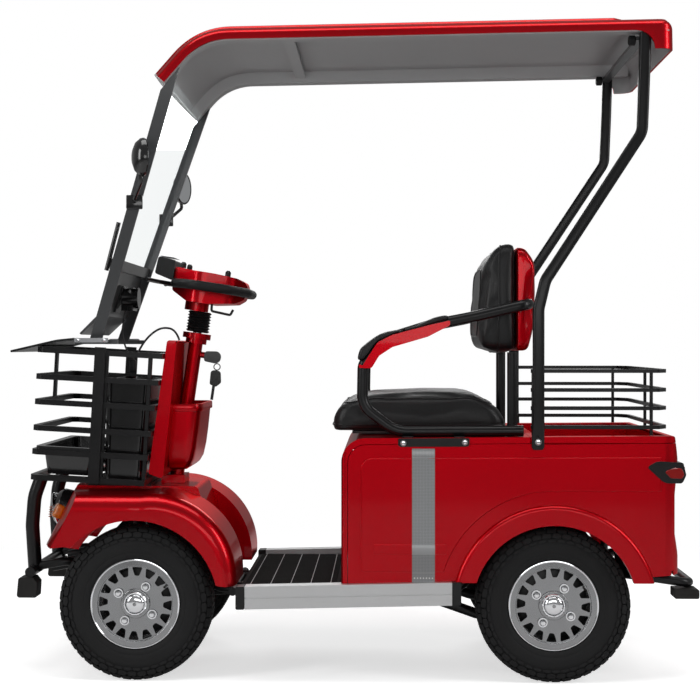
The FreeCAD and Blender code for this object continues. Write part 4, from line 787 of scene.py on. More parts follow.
def studio_world():
    """Surroundings that are white to the camera and through glass, and grey as light and in reflections."""
    world = bpy.data.worlds.new("Soft studio")
    world.use_nodes = True
    tree = world.node_tree
    background = tree.nodes["Background"]
    background.inputs["Color"].default_value = (1, 1, 1, 1)
    path = tree.nodes.new("ShaderNodeLightPath")
    direct = math_node(tree, "MAXIMUM", path.outputs["Is Camera Ray"], path.outputs["Is Transmission Ray"])
    mirrored = math_node(tree, "MULTIPLY_ADD", path.outputs["Is Glossy Ray"], MIRRORED_WORLD - LIGHTING_WORLD,
                         LIGHTING_WORLD)
    tree.links.new(math_node(tree, "MAXIMUM", direct, mirrored), background.inputs["Strength"])
    bpy.context.scene.world = world


def place_floor():
    data = bpy.data.meshes.new("studio_floor")
    corners = [(x * FLOOR_REACH, y * FLOOR_REACH, 0) for x, y in ((-1, -1), (1, -1), (1, 1), (-1, 1))]
    data.from_pydata(corners, [], [(0, 1, 2, 3)])
    data.materials.append(floor_material())
    floor = bpy.data.objects.new("studio_floor", data)
    bpy.context.scene.collection.objects.link(floor)


def place_softboxes():
    for name, place, aim, width, height, watts in LAMPS:
        light = bpy.data.lights.new(name, "AREA")
        light.shape = "RECTANGLE"
        light.size = width
        light.size_y = height
        light.energy = watts
        lamp = bpy.data.objects.new(name, light)
        lamp.matrix_world = facing(place, Vector(place) - Vector(aim))
        bpy.context.scene.collection.objects.link(lamp)


def place_camera():
    camera = bpy.data.cameras.new("Side view")
    camera.lens = CAMERA_LENS_MM
    camera.sensor_width = CAMERA_SENSOR_MM
    camera.clip_end = CAMERA_REACH
    viewer = bpy.data.objects.new("Side view", camera)
    viewer.rotation_mode = "QUATERNION"
    viewer.location = CAMERA_PLACE
    viewer.rotation_quaternion = CAMERA_LOOK.to_track_quat("-Z", "Y")
    bpy.context.scene.collection.objects.link(viewer)
    bpy.context.scene.camera = viewer


def build_stage():
    bpy.context.scene.view_settings.view_transform = "Standard"
    studio_world()
    place_floor()
    place_softboxes()
    place_camera()


# Tyres and wheels

TYRE_STEPS = 120
BLOCK_ROOT = 0.002
BLOCK_CHAMFER = 0.0012
CARCASS = [
    # (radius, distance from the middle) of half the section, bead to shoulder
    (0.1042, 0.036), (0.1085, 0.0381), (0.1192, 0.0392), (0.1208, 0.0425), (0.1235, 0.0446), (0.1275, 0.0462),
    (0.134, 0.0480), (0.1362, 0.0476), (0.1384, 0.0487), (0.147, 0.0495), (0.158, 0.0497), (0.168, 0.0489),
    (0.1705, 0.0478), (0.173, 0.0482), (0.181, 0.0462), (0.188, 0.0432), (0.1925, 0.0400)]
TREAD_ROWS = (
    # distance from the middle, half length across, share of pitch, phase, lean
    (0.0, 0.0088, 0.80, 0.0, 0.35), (0.0200, 0.0090, 0.82, 0.5, -0.25), (-0.0200, 0.0090, 0.82, 0.5, -0.25))
LUG_ROWS = (
    # outline of (radius, distance from the middle), phase and length as shares of pitch, chamfer
    ([(0.1945, 0.0305), (0.2036, 0.0312), (0.2026, 0.0400), (0.1985, 0.0455), (0.1930, 0.0478),
      (0.1925, 0.0400)], 0.22, 0.88, 0.12),
    ([(0.1905, 0.0405), (0.1917, 0.0487), (0.1850, 0.0506), (0.1790, 0.0513), (0.1775, 0.0480),
      (0.1830, 0.0440)], 0.72, 0.90, 0.22),
    ([(0.1758, 0.0478), (0.1762, 0.0514), (0.1725, 0.0517), (0.1690, 0.0510), (0.1688, 0.0480),
      (0.1720, 0.0470)], 0.22, 0.80, 0.22))
LUG_PINCH = 0.62


def wheel_frame(axle, side):
    """Local Z points outward along the wheel's axis from its middle."""
    return at(axle.x, side * HALF_TRACK, axle.z) @ Matrix.Rotation(-side * math.pi / 2, 4, "X")


def tread_block(maker, base, angle, span, middle, reach, lean):
    """One block of the crown, over an angle span; lean shears it round the tyre."""
    rings = []
    for radius, inset in ((base, 0.0), (TYRE_RADIUS - BLOCK_CHAMFER, 0.0), (TYRE_RADIUS, BLOCK_CHAMFER)):
        ring = []
        edge = reach - inset
        for across, turn in ((-edge, -1), (edge, -1), (edge, 1), (-edge, 1)):
            a = angle + turn * (span / 2 - inset / radius) + lean * across / radius
            ring.append((radius * math.cos(a), radius * math.sin(a), middle + across))
        rings.append(ring)
    maker.skin(rings)


def shoulder_lug(maker, outline, angle, span, chamfer, turn):
    """Lug on the shoulder or sidewall; its ends lean in so that it is six-sided from the side."""
    sections = []
    middle = (outline[0][0] + outline[3][0]) / 2
    for share, pinch in ((-0.5, LUG_PINCH), (chamfer - 0.5, 1.0), (0.5 - chamfer, 1.0), (0.5, LUG_PINCH)):
        a = angle + span * share
        pinched = [(middle + (radius - middle) * pinch, along) for radius, along in outline]
        sections.append([(radius * math.cos(a), radius * math.sin(a), turn * along)
                         for radius, along in pinched])
    maker.skin(sections)


def build_tyre(place, axle, side):
    """Carcass, three rows of crown blocks, and lugs on both shoulders and sidewalls."""
    crown = TYRE_RADIUS - sizes().tread_depth
    count = sizes().tread_blocks
    pitch = 2 * math.pi / count
    half = CARCASS + [(crown - 0.0012, 0.034), (crown, 0.020), (crown, 0.0)]
    maker = Maker()
    maker.turned(half + [(radius, -along) for radius, along in reversed(half[:-1])], TYRE_STEPS)
    for index in range(count):
        start = index * pitch
        for middle, reach, share, phase, lean in TREAD_ROWS:
            tread_block(maker, crown - BLOCK_ROOT, start + phase * pitch, pitch * share, middle, reach, lean)
        for turn in (-1, 1):
            for outline, phase, share, chamfer in LUG_ROWS:
                shoulder_lug(maker, outline, start + phase * pitch, pitch * share, chamfer, turn)
    maker.mesh.transform(wheel_frame(axle, side))
    maker.make("tyre_looks_" + place, "wheel_" + place, "tyre", "tyre", ("tyre_" + place,))


# Outlines of (radius, height) about the wheel's axis or about the fitting's own

LUG_CIRCLE = 0.053
LUG_ANGLES = [math.radians(degrees) for degrees in (58, 148, 238, 328)]
LUG_SEAT = 0.0402
LUG_RING = [(0.0105, 0), (0.0125, 0.0004), (0.0125, 0.0016), (0.0095, 0.0016)]
LUG_NUT = [(0.0072, 0.0), (0.0078, 0.0008), (0.0078, 0.0075), (0.0066, 0.0092), (0, 0.0102), (0, 0.0)]
HUB_RING = [(0.0262, 0.0425), (0.0300, 0.0428), (0.0312, 0.0445), (0.0296, 0.0462), (0.0262, 0.0462)]
HUB_CAP = [(0, 0.0535), (0.010, 0.0532), (0.0175, 0.0518), (0.0228, 0.0492), (0.0252, 0.0455),
           (0.0252, 0.0425), (0, 0.0425)]
HUB_TEETH = 12
RIM_LIP = [(0.1145, 0.0440), (0.1168, 0.0450), (0.1186, 0.0446), (0.1190, 0.0432), (0.1176, 0.0436)]
# Painted shade: a thin dark disc that fills the wheel behind the rim's windows
WHEEL_SHADE_DISC = [(0.0, -0.004), (0.088, -0.004), (0.092, -0.001), (0.092, 0.004), (0.084, 0.007),
              (0.050, 0.008), (0.0, 0.008)]
VALVE_STEM = [(0, 0), (0.0042, 0), (0.0038, 0.006), (0.0026, 0.010), (0.0026, 0.020), (0.0033, 0.0205),
              (0.0033, 0.0275), (0, 0.0285)]
VALVE_CIRCLE = 0.0925
VALVE_ANGLE = math.radians(30)


def on_circle(radius, angle, height):
    return at(radius * math.cos(angle), radius * math.sin(angle), height)


def build_wheel_fittings(place, axle, side):
    """Chrome lug nuts, ringed hub cap and rim lip, a dark disc behind the windows as painted shade, and the
    valve.
    """
    spot = wheel_frame(axle, side)
    body = "wheel_" + place
    bright = Maker()
    for angle in LUG_ANGLES:
        nut = on_circle(LUG_CIRCLE, angle, LUG_SEAT)
        bright.turned(LUG_RING, 24, nut).turned(LUG_NUT, 6, nut)
    bright.turned(HUB_RING, 48).turned(HUB_CAP, 40)
    for step in range(HUB_TEETH):
        tooth = Matrix.Rotation(2 * math.pi * step / HUB_TEETH, 4, "Z") @ at(0.0278, 0, 0.0463)
        bright.block((0.0032, 0.0038, 0.0030), tooth, 0.0007, 1)
    bright.turned(RIM_LIP, 96)
    bright.mesh.transform(spot)
    bright.make("wheel_fittings_" + place, body, "chrome", "rim")
    # Dark disc at the wheel's middle, behind the rim's windows: painted shade where the wheel's inside shows
    shade_disc = Maker().turned(WHEEL_SHADE_DISC, 64, spot)
    shade_disc.make("wheel_shade_disc_" + place, body, "plastic", "black_plastic")
    valve = Maker().turned(VALVE_STEM, 14, spot @ on_circle(VALVE_CIRCLE, VALVE_ANGLE, 0.026))
    valve.make("valve_" + place, body, "rubber", "rubber")


# Seat and backrest

# Outlines from the side as (x, z, corner radius)
SEAT_SIDE = [(-0.050, 0.6575, 0.008), (-0.055, 0.690, 0.030), (-0.040, 0.730, 0.040), (0.050, 0.752, 0.080),
             (0.200, 0.759, 0.200), (0.335, 0.757, 0.070), (0.400, 0.722, 0.045), (0.422, 0.682, 0.020),
             (0.416, 0.6575, 0.008)]
BACK_SIDE = [(0.349, 0.876, 0.024), (0.352, 1.000, 0.200), (0.362, 1.110, 0.080), (0.383, 1.152, 0.040),
             (0.405, 1.168, 0.030), (0.4435, 1.170, 0.014), (0.4435, 0.876, 0.012)]
SHELL_SIDE = [(0.4470, 0.876, 0.004), (0.4470, 1.158, 0.006), (0.470, 1.156, 0.030), (0.4965, 1.120, 0.060),
              (0.4985, 1.030, 0.200), (0.492, 0.930, 0.120), (0.478, 0.876, 0.024)]
PAD_SIDE = [(0.0145, 0.850, 0.006), (0.023, 0.882, 0.018), (0.074, 0.920, 0.030), (0.168, 0.939, 0.050),
            (0.230, 0.966, 0.040), (0.255, 0.971, 0.006), (0.261, 0.962, 0.005), (0.210, 0.948, 0.030),
            (0.106, 0.922, 0.040), (0.064, 0.901, 0.030), (0.030, 0.852, 0.010)]
SEAT_HALF, SEAT_ROUNDING = 0.211, 0.040
BACK_HALF, BACK_ROUNDING = 0.202, 0.036
SHELL_HALF, SHELL_ROUNDING = 0.2065, 0.026
PAD_HALF, PAD_ROUNDING = 0.0245, 0.011
ARMREST_Y = 0.305
# The cloth solver leaves what is below or behind these alone
SEAT_HELD_BELOW = 0.664
BACK_HELD_BEHIND = 0.436
PAD_HELD_BELOW = 0.860
CUSHION_VOXEL, CUSHION_CAP = 0.006, 0.006
PAD_VOXEL, PAD_CAP = 0.004, 0.003
PAD_STEPS = 7
PAD_PRESSURE = 3.0
PAD_FRAMES = 16
RELAX_FACTOR = 0.5
RELAX_STEPS = 8
WELT_STEPS = 160
WELT_SINK = 0.35


def cushion_blank(outline, half_width, rounding, middle=0.0):
    """Closed cushion body: the side outline carried across, drawn in towards both ends."""
    points = rounded([((x, z), radius) for x, z, radius in outline], PAD_STEPS, True)
    centre = sum(points, Vector((0, 0))) / len(points)
    stations = []
    for step in range(PAD_STEPS + 1):
        angle = math.pi / 2 * step / PAD_STEPS
        reach = half_width - rounding + rounding * math.sin(angle)
        stations.append((reach, rounding * (1 - math.cos(angle))))
    sections = []
    for y, inset in [(-reach, inset) for reach, inset in reversed(stations)] + stations:
        section = []
        for point in points:
            arm = point - centre
            shrink = max(0.0, arm.length - inset) / arm.length
            section.append((centre.x + arm.x * shrink, middle + y, centre.y + arm.y * shrink))
        sections.append(section)
    return Maker().skin(sections)


def simulate_pad(piece, voxel, cap, pinned):
    """Puffs the pad with the cloth solver and caps how far each point moves."""
    scene = bpy.context.scene
    bpy.context.view_layer.objects.active = piece
    for other in bpy.context.selected_objects:
        other.select_set(False)
    piece.select_set(True)
    remesh = piece.modifiers.new("Remesh", "REMESH")
    remesh.mode = "VOXEL"
    remesh.voxel_size = voxel
    bpy.ops.object.modifier_apply(modifier=remesh.name)
    rest = [vertex.co.copy() for vertex in piece.data.vertices]
    group = piece.vertex_groups.new(name="held")
    group.add([vertex.index for vertex in piece.data.vertices if pinned(vertex.co)], 1.0, "REPLACE")
    cloth = piece.modifiers.new("Cloth", "CLOTH")
    cloth.settings.use_pressure = True
    cloth.settings.uniform_pressure_force = PAD_PRESSURE
    cloth.settings.effector_weights.gravity = 0.0
    cloth.settings.vertex_group_mass = "held"
    cloth.point_cache.frame_end = PAD_FRAMES
    for number in range(1, PAD_FRAMES + 1):
        scene.frame_set(number)
    bpy.ops.object.modifier_apply(modifier=cloth.name)
    scene.frame_set(1)
    for vertex, home in zip(piece.data.vertices, rest):
        move = vertex.co - home
        if move.length > cap:
            vertex.co = home + move.normalized() * cap
    for polygon in piece.data.polygons:
        polygon.use_smooth = True


def pad(name, maker, node, slot, voxel, cap, pinned):
    """Cushion piece: puffed, relaxed and smoothed."""
    piece = maker.make(name, "chassis", "vinyl", slot, (node,))
    simulate_pad(piece, voxel, cap, pinned)
    relax = piece.modifiers.new("Relax", "SMOOTH")
    relax.factor = RELAX_FACTOR
    relax.iterations = RELAX_STEPS
    finer = piece.modifiers.new("Subdivision", "SUBSURF")
    finer.levels = 1
    finer.render_levels = 1
    return piece


def welt(name, piece, corners):
    """Piping laid on the piece's surface along the closed line of rounded corners."""
    radius = sizes().seam_width / 2
    bpy.context.view_layer.update()
    tree = BVHTree.FromObject(piece, bpy.context.evaluated_depsgraph_get())
    path = []
    for point in spread(rounded(corners, 8, True), WELT_STEPS):
        place, normal, _, _ = tree.find_nearest(point)
        path.append(place + normal * radius * WELT_SINK)
    eased = [(path[index - 1] + path[index] * 2 + path[(index + 1) % WELT_STEPS]) / 4
             for index in range(WELT_STEPS)]
    Maker().tube(eased, radius, 8, closed=True).make(name, "chassis", "vinyl", "seat_leather")


SEAT_WELT_LOW = [((x, y, 0.672), 0.05)
                 for x, y in ((-0.08, -0.23), (0.44, -0.23), (0.44, 0.23), (-0.08, 0.23))]
SEAT_WELT_HIGH = [((x, y, z), 0.06) for x, y, z in (
    (-0.035, -0.205, 0.752), (0.150, -0.21, 0.772), (0.392, -0.205, 0.745),
    (0.392, 0.205, 0.745), (0.150, 0.21, 0.772), (-0.035, 0.205, 0.752))]
BACK_WELT_EDGE = [((0.397, y, z), 0.05)
                  for y, z in ((-0.215, 0.86), (0.215, 0.86), (0.215, 1.18), (-0.215, 1.18))]
BACK_WELT_FACE = [((0.345, y, z), 0.06)
                  for y, z in ((-0.158, 0.915), (0.158, 0.915), (0.158, 1.105), (-0.158, 1.105))]


def build_seat():
    """Seat and backrest with their piping, and the red shell behind the backrest."""
    seat_blank = cushion_blank(SEAT_SIDE, SEAT_HALF, SEAT_ROUNDING)
    seat = pad("seat_cushion_cover", seat_blank, "seat_cushion", "seat_leather",
               CUSHION_VOXEL, CUSHION_CAP, pinned=lambda co: co.z < SEAT_HELD_BELOW)
    back_blank = cushion_blank(BACK_SIDE, BACK_HALF, BACK_ROUNDING)
    back = pad("backrest_cover", back_blank, "backrest_cushion", "seat_leather",
               CUSHION_VOXEL, CUSHION_CAP, pinned=lambda co: co.x > BACK_HELD_BEHIND)
    welt("seat_welt_low", seat, SEAT_WELT_LOW)
    welt("seat_welt_high", seat, SEAT_WELT_HIGH)
    welt("backrest_welt_edge", back, BACK_WELT_EDGE)
    welt("backrest_welt_face", back, BACK_WELT_FACE)
    shell = cushion_blank(SHELL_SIDE, SHELL_HALF, SHELL_ROUNDING)
    shell.make("backrest_back", "chassis", "red", "red_body", ("backrest_shell",))


def build_armrest_pads():
    """Soft pad on each armrest."""
    for label, side in SIDES:
        blank = cushion_blank(PAD_SIDE, PAD_HALF, PAD_ROUNDING, side * ARMREST_Y)
        pad("armrest_pad_" + label, blank, "armrest_pads", "rubber",
            PAD_VOXEL, PAD_CAP, pinned=lambda co: co.z < PAD_HELD_BELOW)


# Roof and its posts

ROOF_HALF = 0.335
ROOF_EDGE = 1.717
ROOF_REAR = 0.847
ROOF_WALL = 0.006
ROOF_CORNER = 0.038
ROOF_SPINE = [((-0.494, 1.585), 0.0), ((-0.395, 1.697), 0.165), ((0.842, 1.717), 0.0)]
SCOOP_START = 0.746
VALANCE_DROP = 0.049
PANEL_END = 0.712
PANEL_BEFORE = 0.012
PANEL_AFTER = 0.014
PANEL_RISE = 0.007
REAR_ROUND = 0.024
REAR_DEEPER = 0.009
EDGE_BAND = 0.03


def roof_section(place, along, half, inset, low, raise_panel):
    """Points across the roof at one place of its spine, from the left edge over the top to the right edge."""
    lift = PANEL_RISE * raise_panel
    table = [
        (half - inset, -low, 0.0), (half - inset, 0.021 - inset, 0.016), (half - 0.030, 0.034 - inset, 0.020),
        (half - 0.060, 0.040 - inset, 0.006), (half - 0.067, 0.041 + lift - inset, 0.006),
        (0.0, 0.060 + lift - inset, 0.0)]
    left = rounded([((-y, z), radius) for y, z, radius in table], 4)
    points = left + [Vector((-point.x, point.y)) for point in reversed(left[:-1])]
    up = Vector((-along.y, along.x))
    result = []
    for point in points:
        spot = place + up * point.y
        result.append((spot.x, point.x, spot.y))
    return result


def roof_stations():
    """Places along the spine, front to rear, as (place, half width, inner place, inner half width)."""
    line = rounded(ROOF_SPINE, 12)
    bend, last = line[-2:]
    slope = (last - bend).normalized()

    def on_spine(x):
        return bend + slope * ((x - bend.x) / slope.x)

    straight = [bend.lerp(last, step / 16) for step in range(1, 15)]
    corner_start = ROOF_REAR - ROOF_CORNER
    places = [point for point in line[:-1] + straight if point.x < SCOOP_START - 0.02]
    levels = [PANEL_END - PANEL_BEFORE, PANEL_END, PANEL_END + PANEL_AFTER]
    levels += [SCOOP_START + VALANCE_DROP * math.sin(math.pi / 2 * step / 5) for step in range(6)]
    places += [Vector((x, 0.0)) for x in levels]
    stations = []
    for point in sorted(places, key=lambda item: item.x):
        if point.x >= corner_start:
            continue
        if point.x > 0.0:
            point = on_spine(point.x)
        stations.append((point, ROOF_HALF, point, ROOF_HALF - ROOF_WALL))
    base = ROOF_HALF - ROOF_CORNER
    for step in range(9):
        angle = math.pi / 2 * step / 8
        rows = []
        for radius in (ROOF_CORNER, ROOF_CORNER - ROOF_WALL):
            rows += [on_spine(corner_start + radius * math.sin(angle)), base + radius * math.cos(angle)]
        stations.append(tuple(rows))
    return stations


def valance_drop(x):
    """How far the roof's edge hangs down at x: none, a quarter circle, then the valance."""
    reach = (x - SCOOP_START) / VALANCE_DROP
    if reach <= 0:
        return 0.0
    return VALANCE_DROP * (1 - math.sqrt(max(0.0, 1 - min(reach, 1.0) ** 2)))


def lowered(row, fall):
    """The row of points with its top brought down; the edge stays."""
    return [(x, y, z - fall * max(0.0, min(1.0, (z - ROOF_EDGE) / EDGE_BAND))) for x, y, z in row]


def build_roof():
    """Red roof shell and, as its second material, the grey skin inside it."""
    stations = roof_stations()
    maker = Maker()
    outer, inner = [], []
    for station, along in zip(stations, directions([station[0] for station in stations])):
        place, half, inner_place, inner_half = station
        panel = min(1.0, max(0.0, (PANEL_END + PANEL_AFTER - place.x) / (PANEL_BEFORE + PANEL_AFTER)))
        drop = valance_drop(place.x)
        ease = max(0.0, place.x - (ROOF_REAR - REAR_ROUND))
        fall = REAR_ROUND - math.sqrt(max(0.0, REAR_ROUND ** 2 - ease ** 2))
        deeper = fall + REAR_DEEPER * max(0.0, (place.x - ROOF_REAR + ROOF_CORNER) / ROOF_CORNER)
        upper = lowered(roof_section(place, along, half, 0.0, drop, panel), fall)
        under = roof_section(inner_place, along, inner_half + ROOF_WALL, ROOF_WALL, drop, panel)
        under = lowered(under, deeper)
        outer.append([maker.mesh.verts.new(point) for point in upper])
        inner.append([maker.mesh.verts.new(point) for point in under])
    faces = maker.mesh.faces
    for rows, turn in ((outer, 1), (inner, -1)):
        for row, following in zip(rows, rows[1:]):
            for index in range(len(row) - 1):
                faces.new((row[index], row[index + 1], following[index + 1], following[index])[::turn])
        faces.new(rows[-1][::turn])
    for index in range(len(outer) - 1):
        for end in (0, -1):
            faces.new((outer[index][end], outer[index + 1][end], inner[index + 1][end], inner[index][end]))
    faces.new((outer[-1][0], outer[-1][-1], inner[-1][-1], inner[-1][0]))
    for index in range(len(outer[0]) - 1):
        faces.new((outer[0][index], outer[0][index + 1], inner[0][index + 1], inner[0][index]))
    inside = {vertex for row in inner for vertex in row}
    grey = {face for face in faces if all(corner in inside for corner in face.verts)}
    maker.make("roof_top", "chassis", "red", "red_body", ("roof_shell",),
               ("liner", lambda face: face in grey))


POST_PATH = [((0.490, -0.3503, 0.617), 0.0), ((0.490, -0.3503, 0.985), 0.060),
             ((0.508, -0.3483, 1.060), 0.060), ((0.764, -0.3177, 1.450), 0.060),
             ((0.770, -0.3167, 1.600), 0.060), ((0.773, -0.3157, 1.711), 0.0)]
POST_FOOT = (
    # share of the lowest run, shift inward, factors of the oval across and to the side
    (0.0, 0.010, 0.80, 0.40), (0.02, 0.010, 1.10, 0.42), (0.10, 0.010, 1.10, 0.42), (0.16, 0.0, 1.05, 0.8),
    (0.22, 0.0, 1.0, 1.0))
POST_BOLT_PLACE = (0.490, 0.3458, 0.6375)
CROSS_BAR = [(-0.012, -0.005), (0.012, -0.005), (0.012, 0.005), (-0.012, 0.005)]
CROSS_BAR_PATH = [(0.765, -0.300, 1.701), (0.765, 0.300, 1.701)]
ROOF_STOP = [(0, 0), (0.012, 0), (0.0135, 0.002), (0.0135, 0.016), (0.010, 0.018), (0, 0.018)]
ROOF_STOP_PLACE = (0.752, 0.285, 1.698)
POST_OVAL = [(0.0152 * math.copysign(abs(math.cos(a)) ** 0.55, math.cos(a)),
              0.0132 * math.copysign(abs(math.sin(a)) ** 0.55, math.sin(a)))
             for a in (2 * math.pi * step / 20 for step in range(20))]


def build_roof_posts():
    """Oval posts whose feet are pressed flat and bolted to the body."""
    path = rounded(POST_PATH, 8)
    foot = [path[0].lerp(path[1], share) + Vector((0, inward, 0)) for share, inward, _, _ in POST_FOOT]
    factors = [(wide, thick) for _, _, wide, thick in POST_FOOT] + [(1.0, 1.0)] * (len(path) - 1)
    for label, side in SIDES:
        post = Maker().sweep(flip(foot + path[1:], side), POST_OVAL, scale=factors)
        post.make("roof_post_" + label, "chassis", "powder", "black_frame", ("roof_posts",))
        x, y, z = POST_BOLT_PLACE
        bolt = Maker().hexagon(0.0065, 0.006, facing((x, side * y, z), (0, side, 0)))
        bolt.make("post_bolt_" + label, "chassis", "chrome", "steel")
    bar = Maker().sweep(CROSS_BAR_PATH, CROSS_BAR, Vector((0, 0, 1)))
    bar.make("roof_cross_bar", "chassis", "pillar", "grey_frame")
    for label, side in SIDES:
        x, y, z = ROOF_STOP_PLACE
        stop = Maker().turned(ROOF_STOP, 24, facing((x, side * y, z), (-1, 0, 0)))
        stop.make("roof_stop_" + label, "chassis", "rubber", "rubber")


# Body trim

STRIPE_FACE = [
    # (z, distance from the middle) up the side panel
    (0.265, 0.3355), (0.291, 0.3355), (0.2965, 0.3385), (0.339, 0.3385), (0.342, 0.3405), (0.367, 0.3405),
    (0.370, 0.3385), (0.592, 0.3385), (0.5975, 0.3355), (0.6195, 0.3355)]
STRIPE_MIDDLE = 0.1905
STRIPE_ABOVE, STRIPE_BELOW = 0.0001, 0.0004
STRIPE_DOTS = 7
DOT_PITCH = 0.26
DOT_LEVEL = 0.279
STRIPE_DOT = [(0, 0), (0.0021, 0), (0.0021, 0.0003), (0, 0.0004)]


def build_stripes():
    """Reflective stripe laid over the field and the bead, with a row of dots near its foot."""
    half = sizes().stripe_width / 2
    for label, side in SIDES:
        maker = Maker()
        ends = []
        for x in (STRIPE_MIDDLE - half, STRIPE_MIDDLE + half):
            ends.append([(x, side * (y + STRIPE_ABOVE), z) for z, y in STRIPE_FACE] +
                        [(x, side * (y - STRIPE_BELOW), z) for z, y in reversed(STRIPE_FACE)])
        maker.skin(ends)
        maker.make("side_stripe_" + label, "chassis", "tape", "red_body")
        dots = Maker()
        for index in range(STRIPE_DOTS):
            x = STRIPE_MIDDLE + half * DOT_PITCH * (index - (STRIPE_DOTS - 1) / 2)
            face = side * (STRIPE_FACE[0][1] + STRIPE_ABOVE)
            dots.turned(STRIPE_DOT, 14, facing((x, face, DOT_LEVEL), (0, side, 0)))
        dots.make("stripe_dots_" + label, "chassis", "white", "red_body")


ARM_BRACKET = [(0.124, 0.624, 0.008), (0.311, 0.625, 0.008), (0.311, 0.6475, 0.004), (0.124, 0.6465, 0.004)]
ARM_BRACKET_BACK, ARM_BRACKET_FACE = 0.3353, 0.3410
ARM_FLANGE = (0.030, 0.026, 0.0024)
ARM_FLANGE_PLACES = ((0.150, 0.329, 0.650), (0.285, 0.329, 0.650))
ARM_BOLT_PLACES = ((0.1376, 0.6336), (0.2989, 0.6362))


def build_arm_brackets():
    """Black bars that carry the armrest frame, each with two chrome bolts."""
    for label, side in SIDES:
        bar = Maker().plate(ARM_BRACKET, side * ARM_BRACKET_BACK, side * ARM_BRACKET_FACE, 0.0008)
        for x, y, z in ARM_FLANGE_PLACES:
            bar.block(ARM_FLANGE, at(x, side * y, z), 0.0006, 1)
        bar.make("arm_bracket_" + label, "chassis", "powder", "black_frame")
        bolts = Maker()
        for x, z in ARM_BOLT_PLACES:
            bolts.hexagon(0.0060, 0.0055, facing((x, side * ARM_BRACKET_FACE, z), (0, side, 0)))
        bolts.make("arm_bolts_" + label, "chassis", "chrome", "steel")


TAIL_LENS = [(0.818, 0.561, 0.006), (0.846, 0.571, 0.012), (0.864, 0.569, 0.006), (0.871, 0.552, 0.008),
             (0.864, 0.542, 0.008), (0.836, 0.543, 0.012)]
TAIL_LENS_BACK, TAIL_LENS_FACE = 0.330, 0.3438
TAIL_BAR = (0.004, 0.040, 0.007)
TAIL_BAR_PLACES = [(0.8768, 0.292, 0.546 + step * 0.0105) for step in range(3)]
INDICATOR_RIB = (0.004, 0.034, 0.0022)
INDICATOR_RIB_PLACES = [(-0.8395 + step * 0.0006, 0.150, 0.417 + step * 0.0065) for step in range(5)]
HEADLIGHT = Vector((-0.829, 0.0, 0.424))
HEADLIGHT_TILT = math.radians(12)
HEADLIGHT_RING = [(0.043, 0.020), (0.0475, 0.021), (0.0495, 0.026), (0.0475, 0.030), (0.043, 0.029)]
HEADLIGHT_BOWL = [(0.0, 0.022), (0.020, 0.0222), (0.043, 0.0255), (0.043, 0.0235), (0.0, 0.0205)]
HEADLIGHT_GLASS = [(0.0435, 0.0262), (0.030, 0.0318), (0.014, 0.0342), (0.0, 0.0348), (0.0, 0.0325),
                   (0.014, 0.0320), (0.030, 0.0296), (0.0435, 0.0255)]


def bars(size, places, side, bevel, segments):
    """Bars of one size at the places, carried over to the given side."""
    maker = Maker()
    for x, y, z in places:
        maker.block(size, at(x, side * y, z), bevel, segments)
    return maker


def build_lamps():
    """Tail lenses, the headlight's reflector and lens, and the ribs of the front indicators."""
    for label, side in SIDES:
        lens = Maker().plate(TAIL_LENS, side * TAIL_LENS_BACK, side * TAIL_LENS_FACE, 0.0016)
        lens.make("tail_lens_" + label, "chassis", "red_lens", "lamp")
        rear = bars(TAIL_BAR, TAIL_BAR_PLACES, side, 0.0014, 2)
        rear.make("tail_bars_" + label, "chassis", "red_lens", "lamp")
        ribs = bars(INDICATOR_RIB, INDICATOR_RIB_PLACES, side, 0.0008, 1)
        ribs.make("indicator_ribs_" + label, "chassis", "amber", "amber")
    spot = facing(HEADLIGHT, (-math.cos(HEADLIGHT_TILT), 0, -math.sin(HEADLIGHT_TILT)))
    Maker().turned(HEADLIGHT_RING, 64, spot).make("headlight_ring", "chassis", "chrome", "steel")
    Maker().turned(HEADLIGHT_BOWL, 48, spot).make("headlight_bowl", "chassis", "chrome", "steel")
    glass = Maker().turned(HEADLIGHT_GLASS, 64, spot, closed=False)
    glass.make("headlight_lens", "chassis", "lamp", "clear")


MAT_FRONT, MAT_REAR, MAT_HALF = -0.2995, -0.0305, 0.3115
MAT_BASE, MAT_TOP = 0.2383, 0.2452
MAT_RIM = 0.03


def build_mat():
    """Floor mat with a flat border, lengthwise ribs and thin pale lines."""
    length = MAT_REAR - MAT_FRONT
    middle = (MAT_FRONT + MAT_REAR) / 2
    ribbed_width = MAT_HALF * 2 - MAT_RIM
    maker = Maker()
    maker.block((length, MAT_HALF * 2, MAT_TOP - MAT_BASE), at(middle, 0, (MAT_BASE + MAT_TOP) / 2), 0.0012)
    pitch = sizes().mat_rib_pitch
    count = int(ribbed_width / pitch)
    for index in range(count):
        rib = at(middle, (index - (count - 1) / 2) * pitch, MAT_TOP + 0.0008)
        maker.block((length - 0.022, pitch * 0.45, 0.0030), rib, 0.0009, 1)
    maker.make("floor_mat_ribbed", "chassis", "mat", "rubber", ("floor_mat",))
    lines = Maker()
    for share in (0.10, 0.30, 0.50, 0.70, 0.90):
        spot = at(MAT_FRONT + length * share, 0, MAT_TOP + 0.0024)
        lines.block((0.0016, ribbed_width, 0.0006), spot, 0.0002, 1)
    lines.make("floor_mat_lines", "chassis", "liner", "grey_liner")


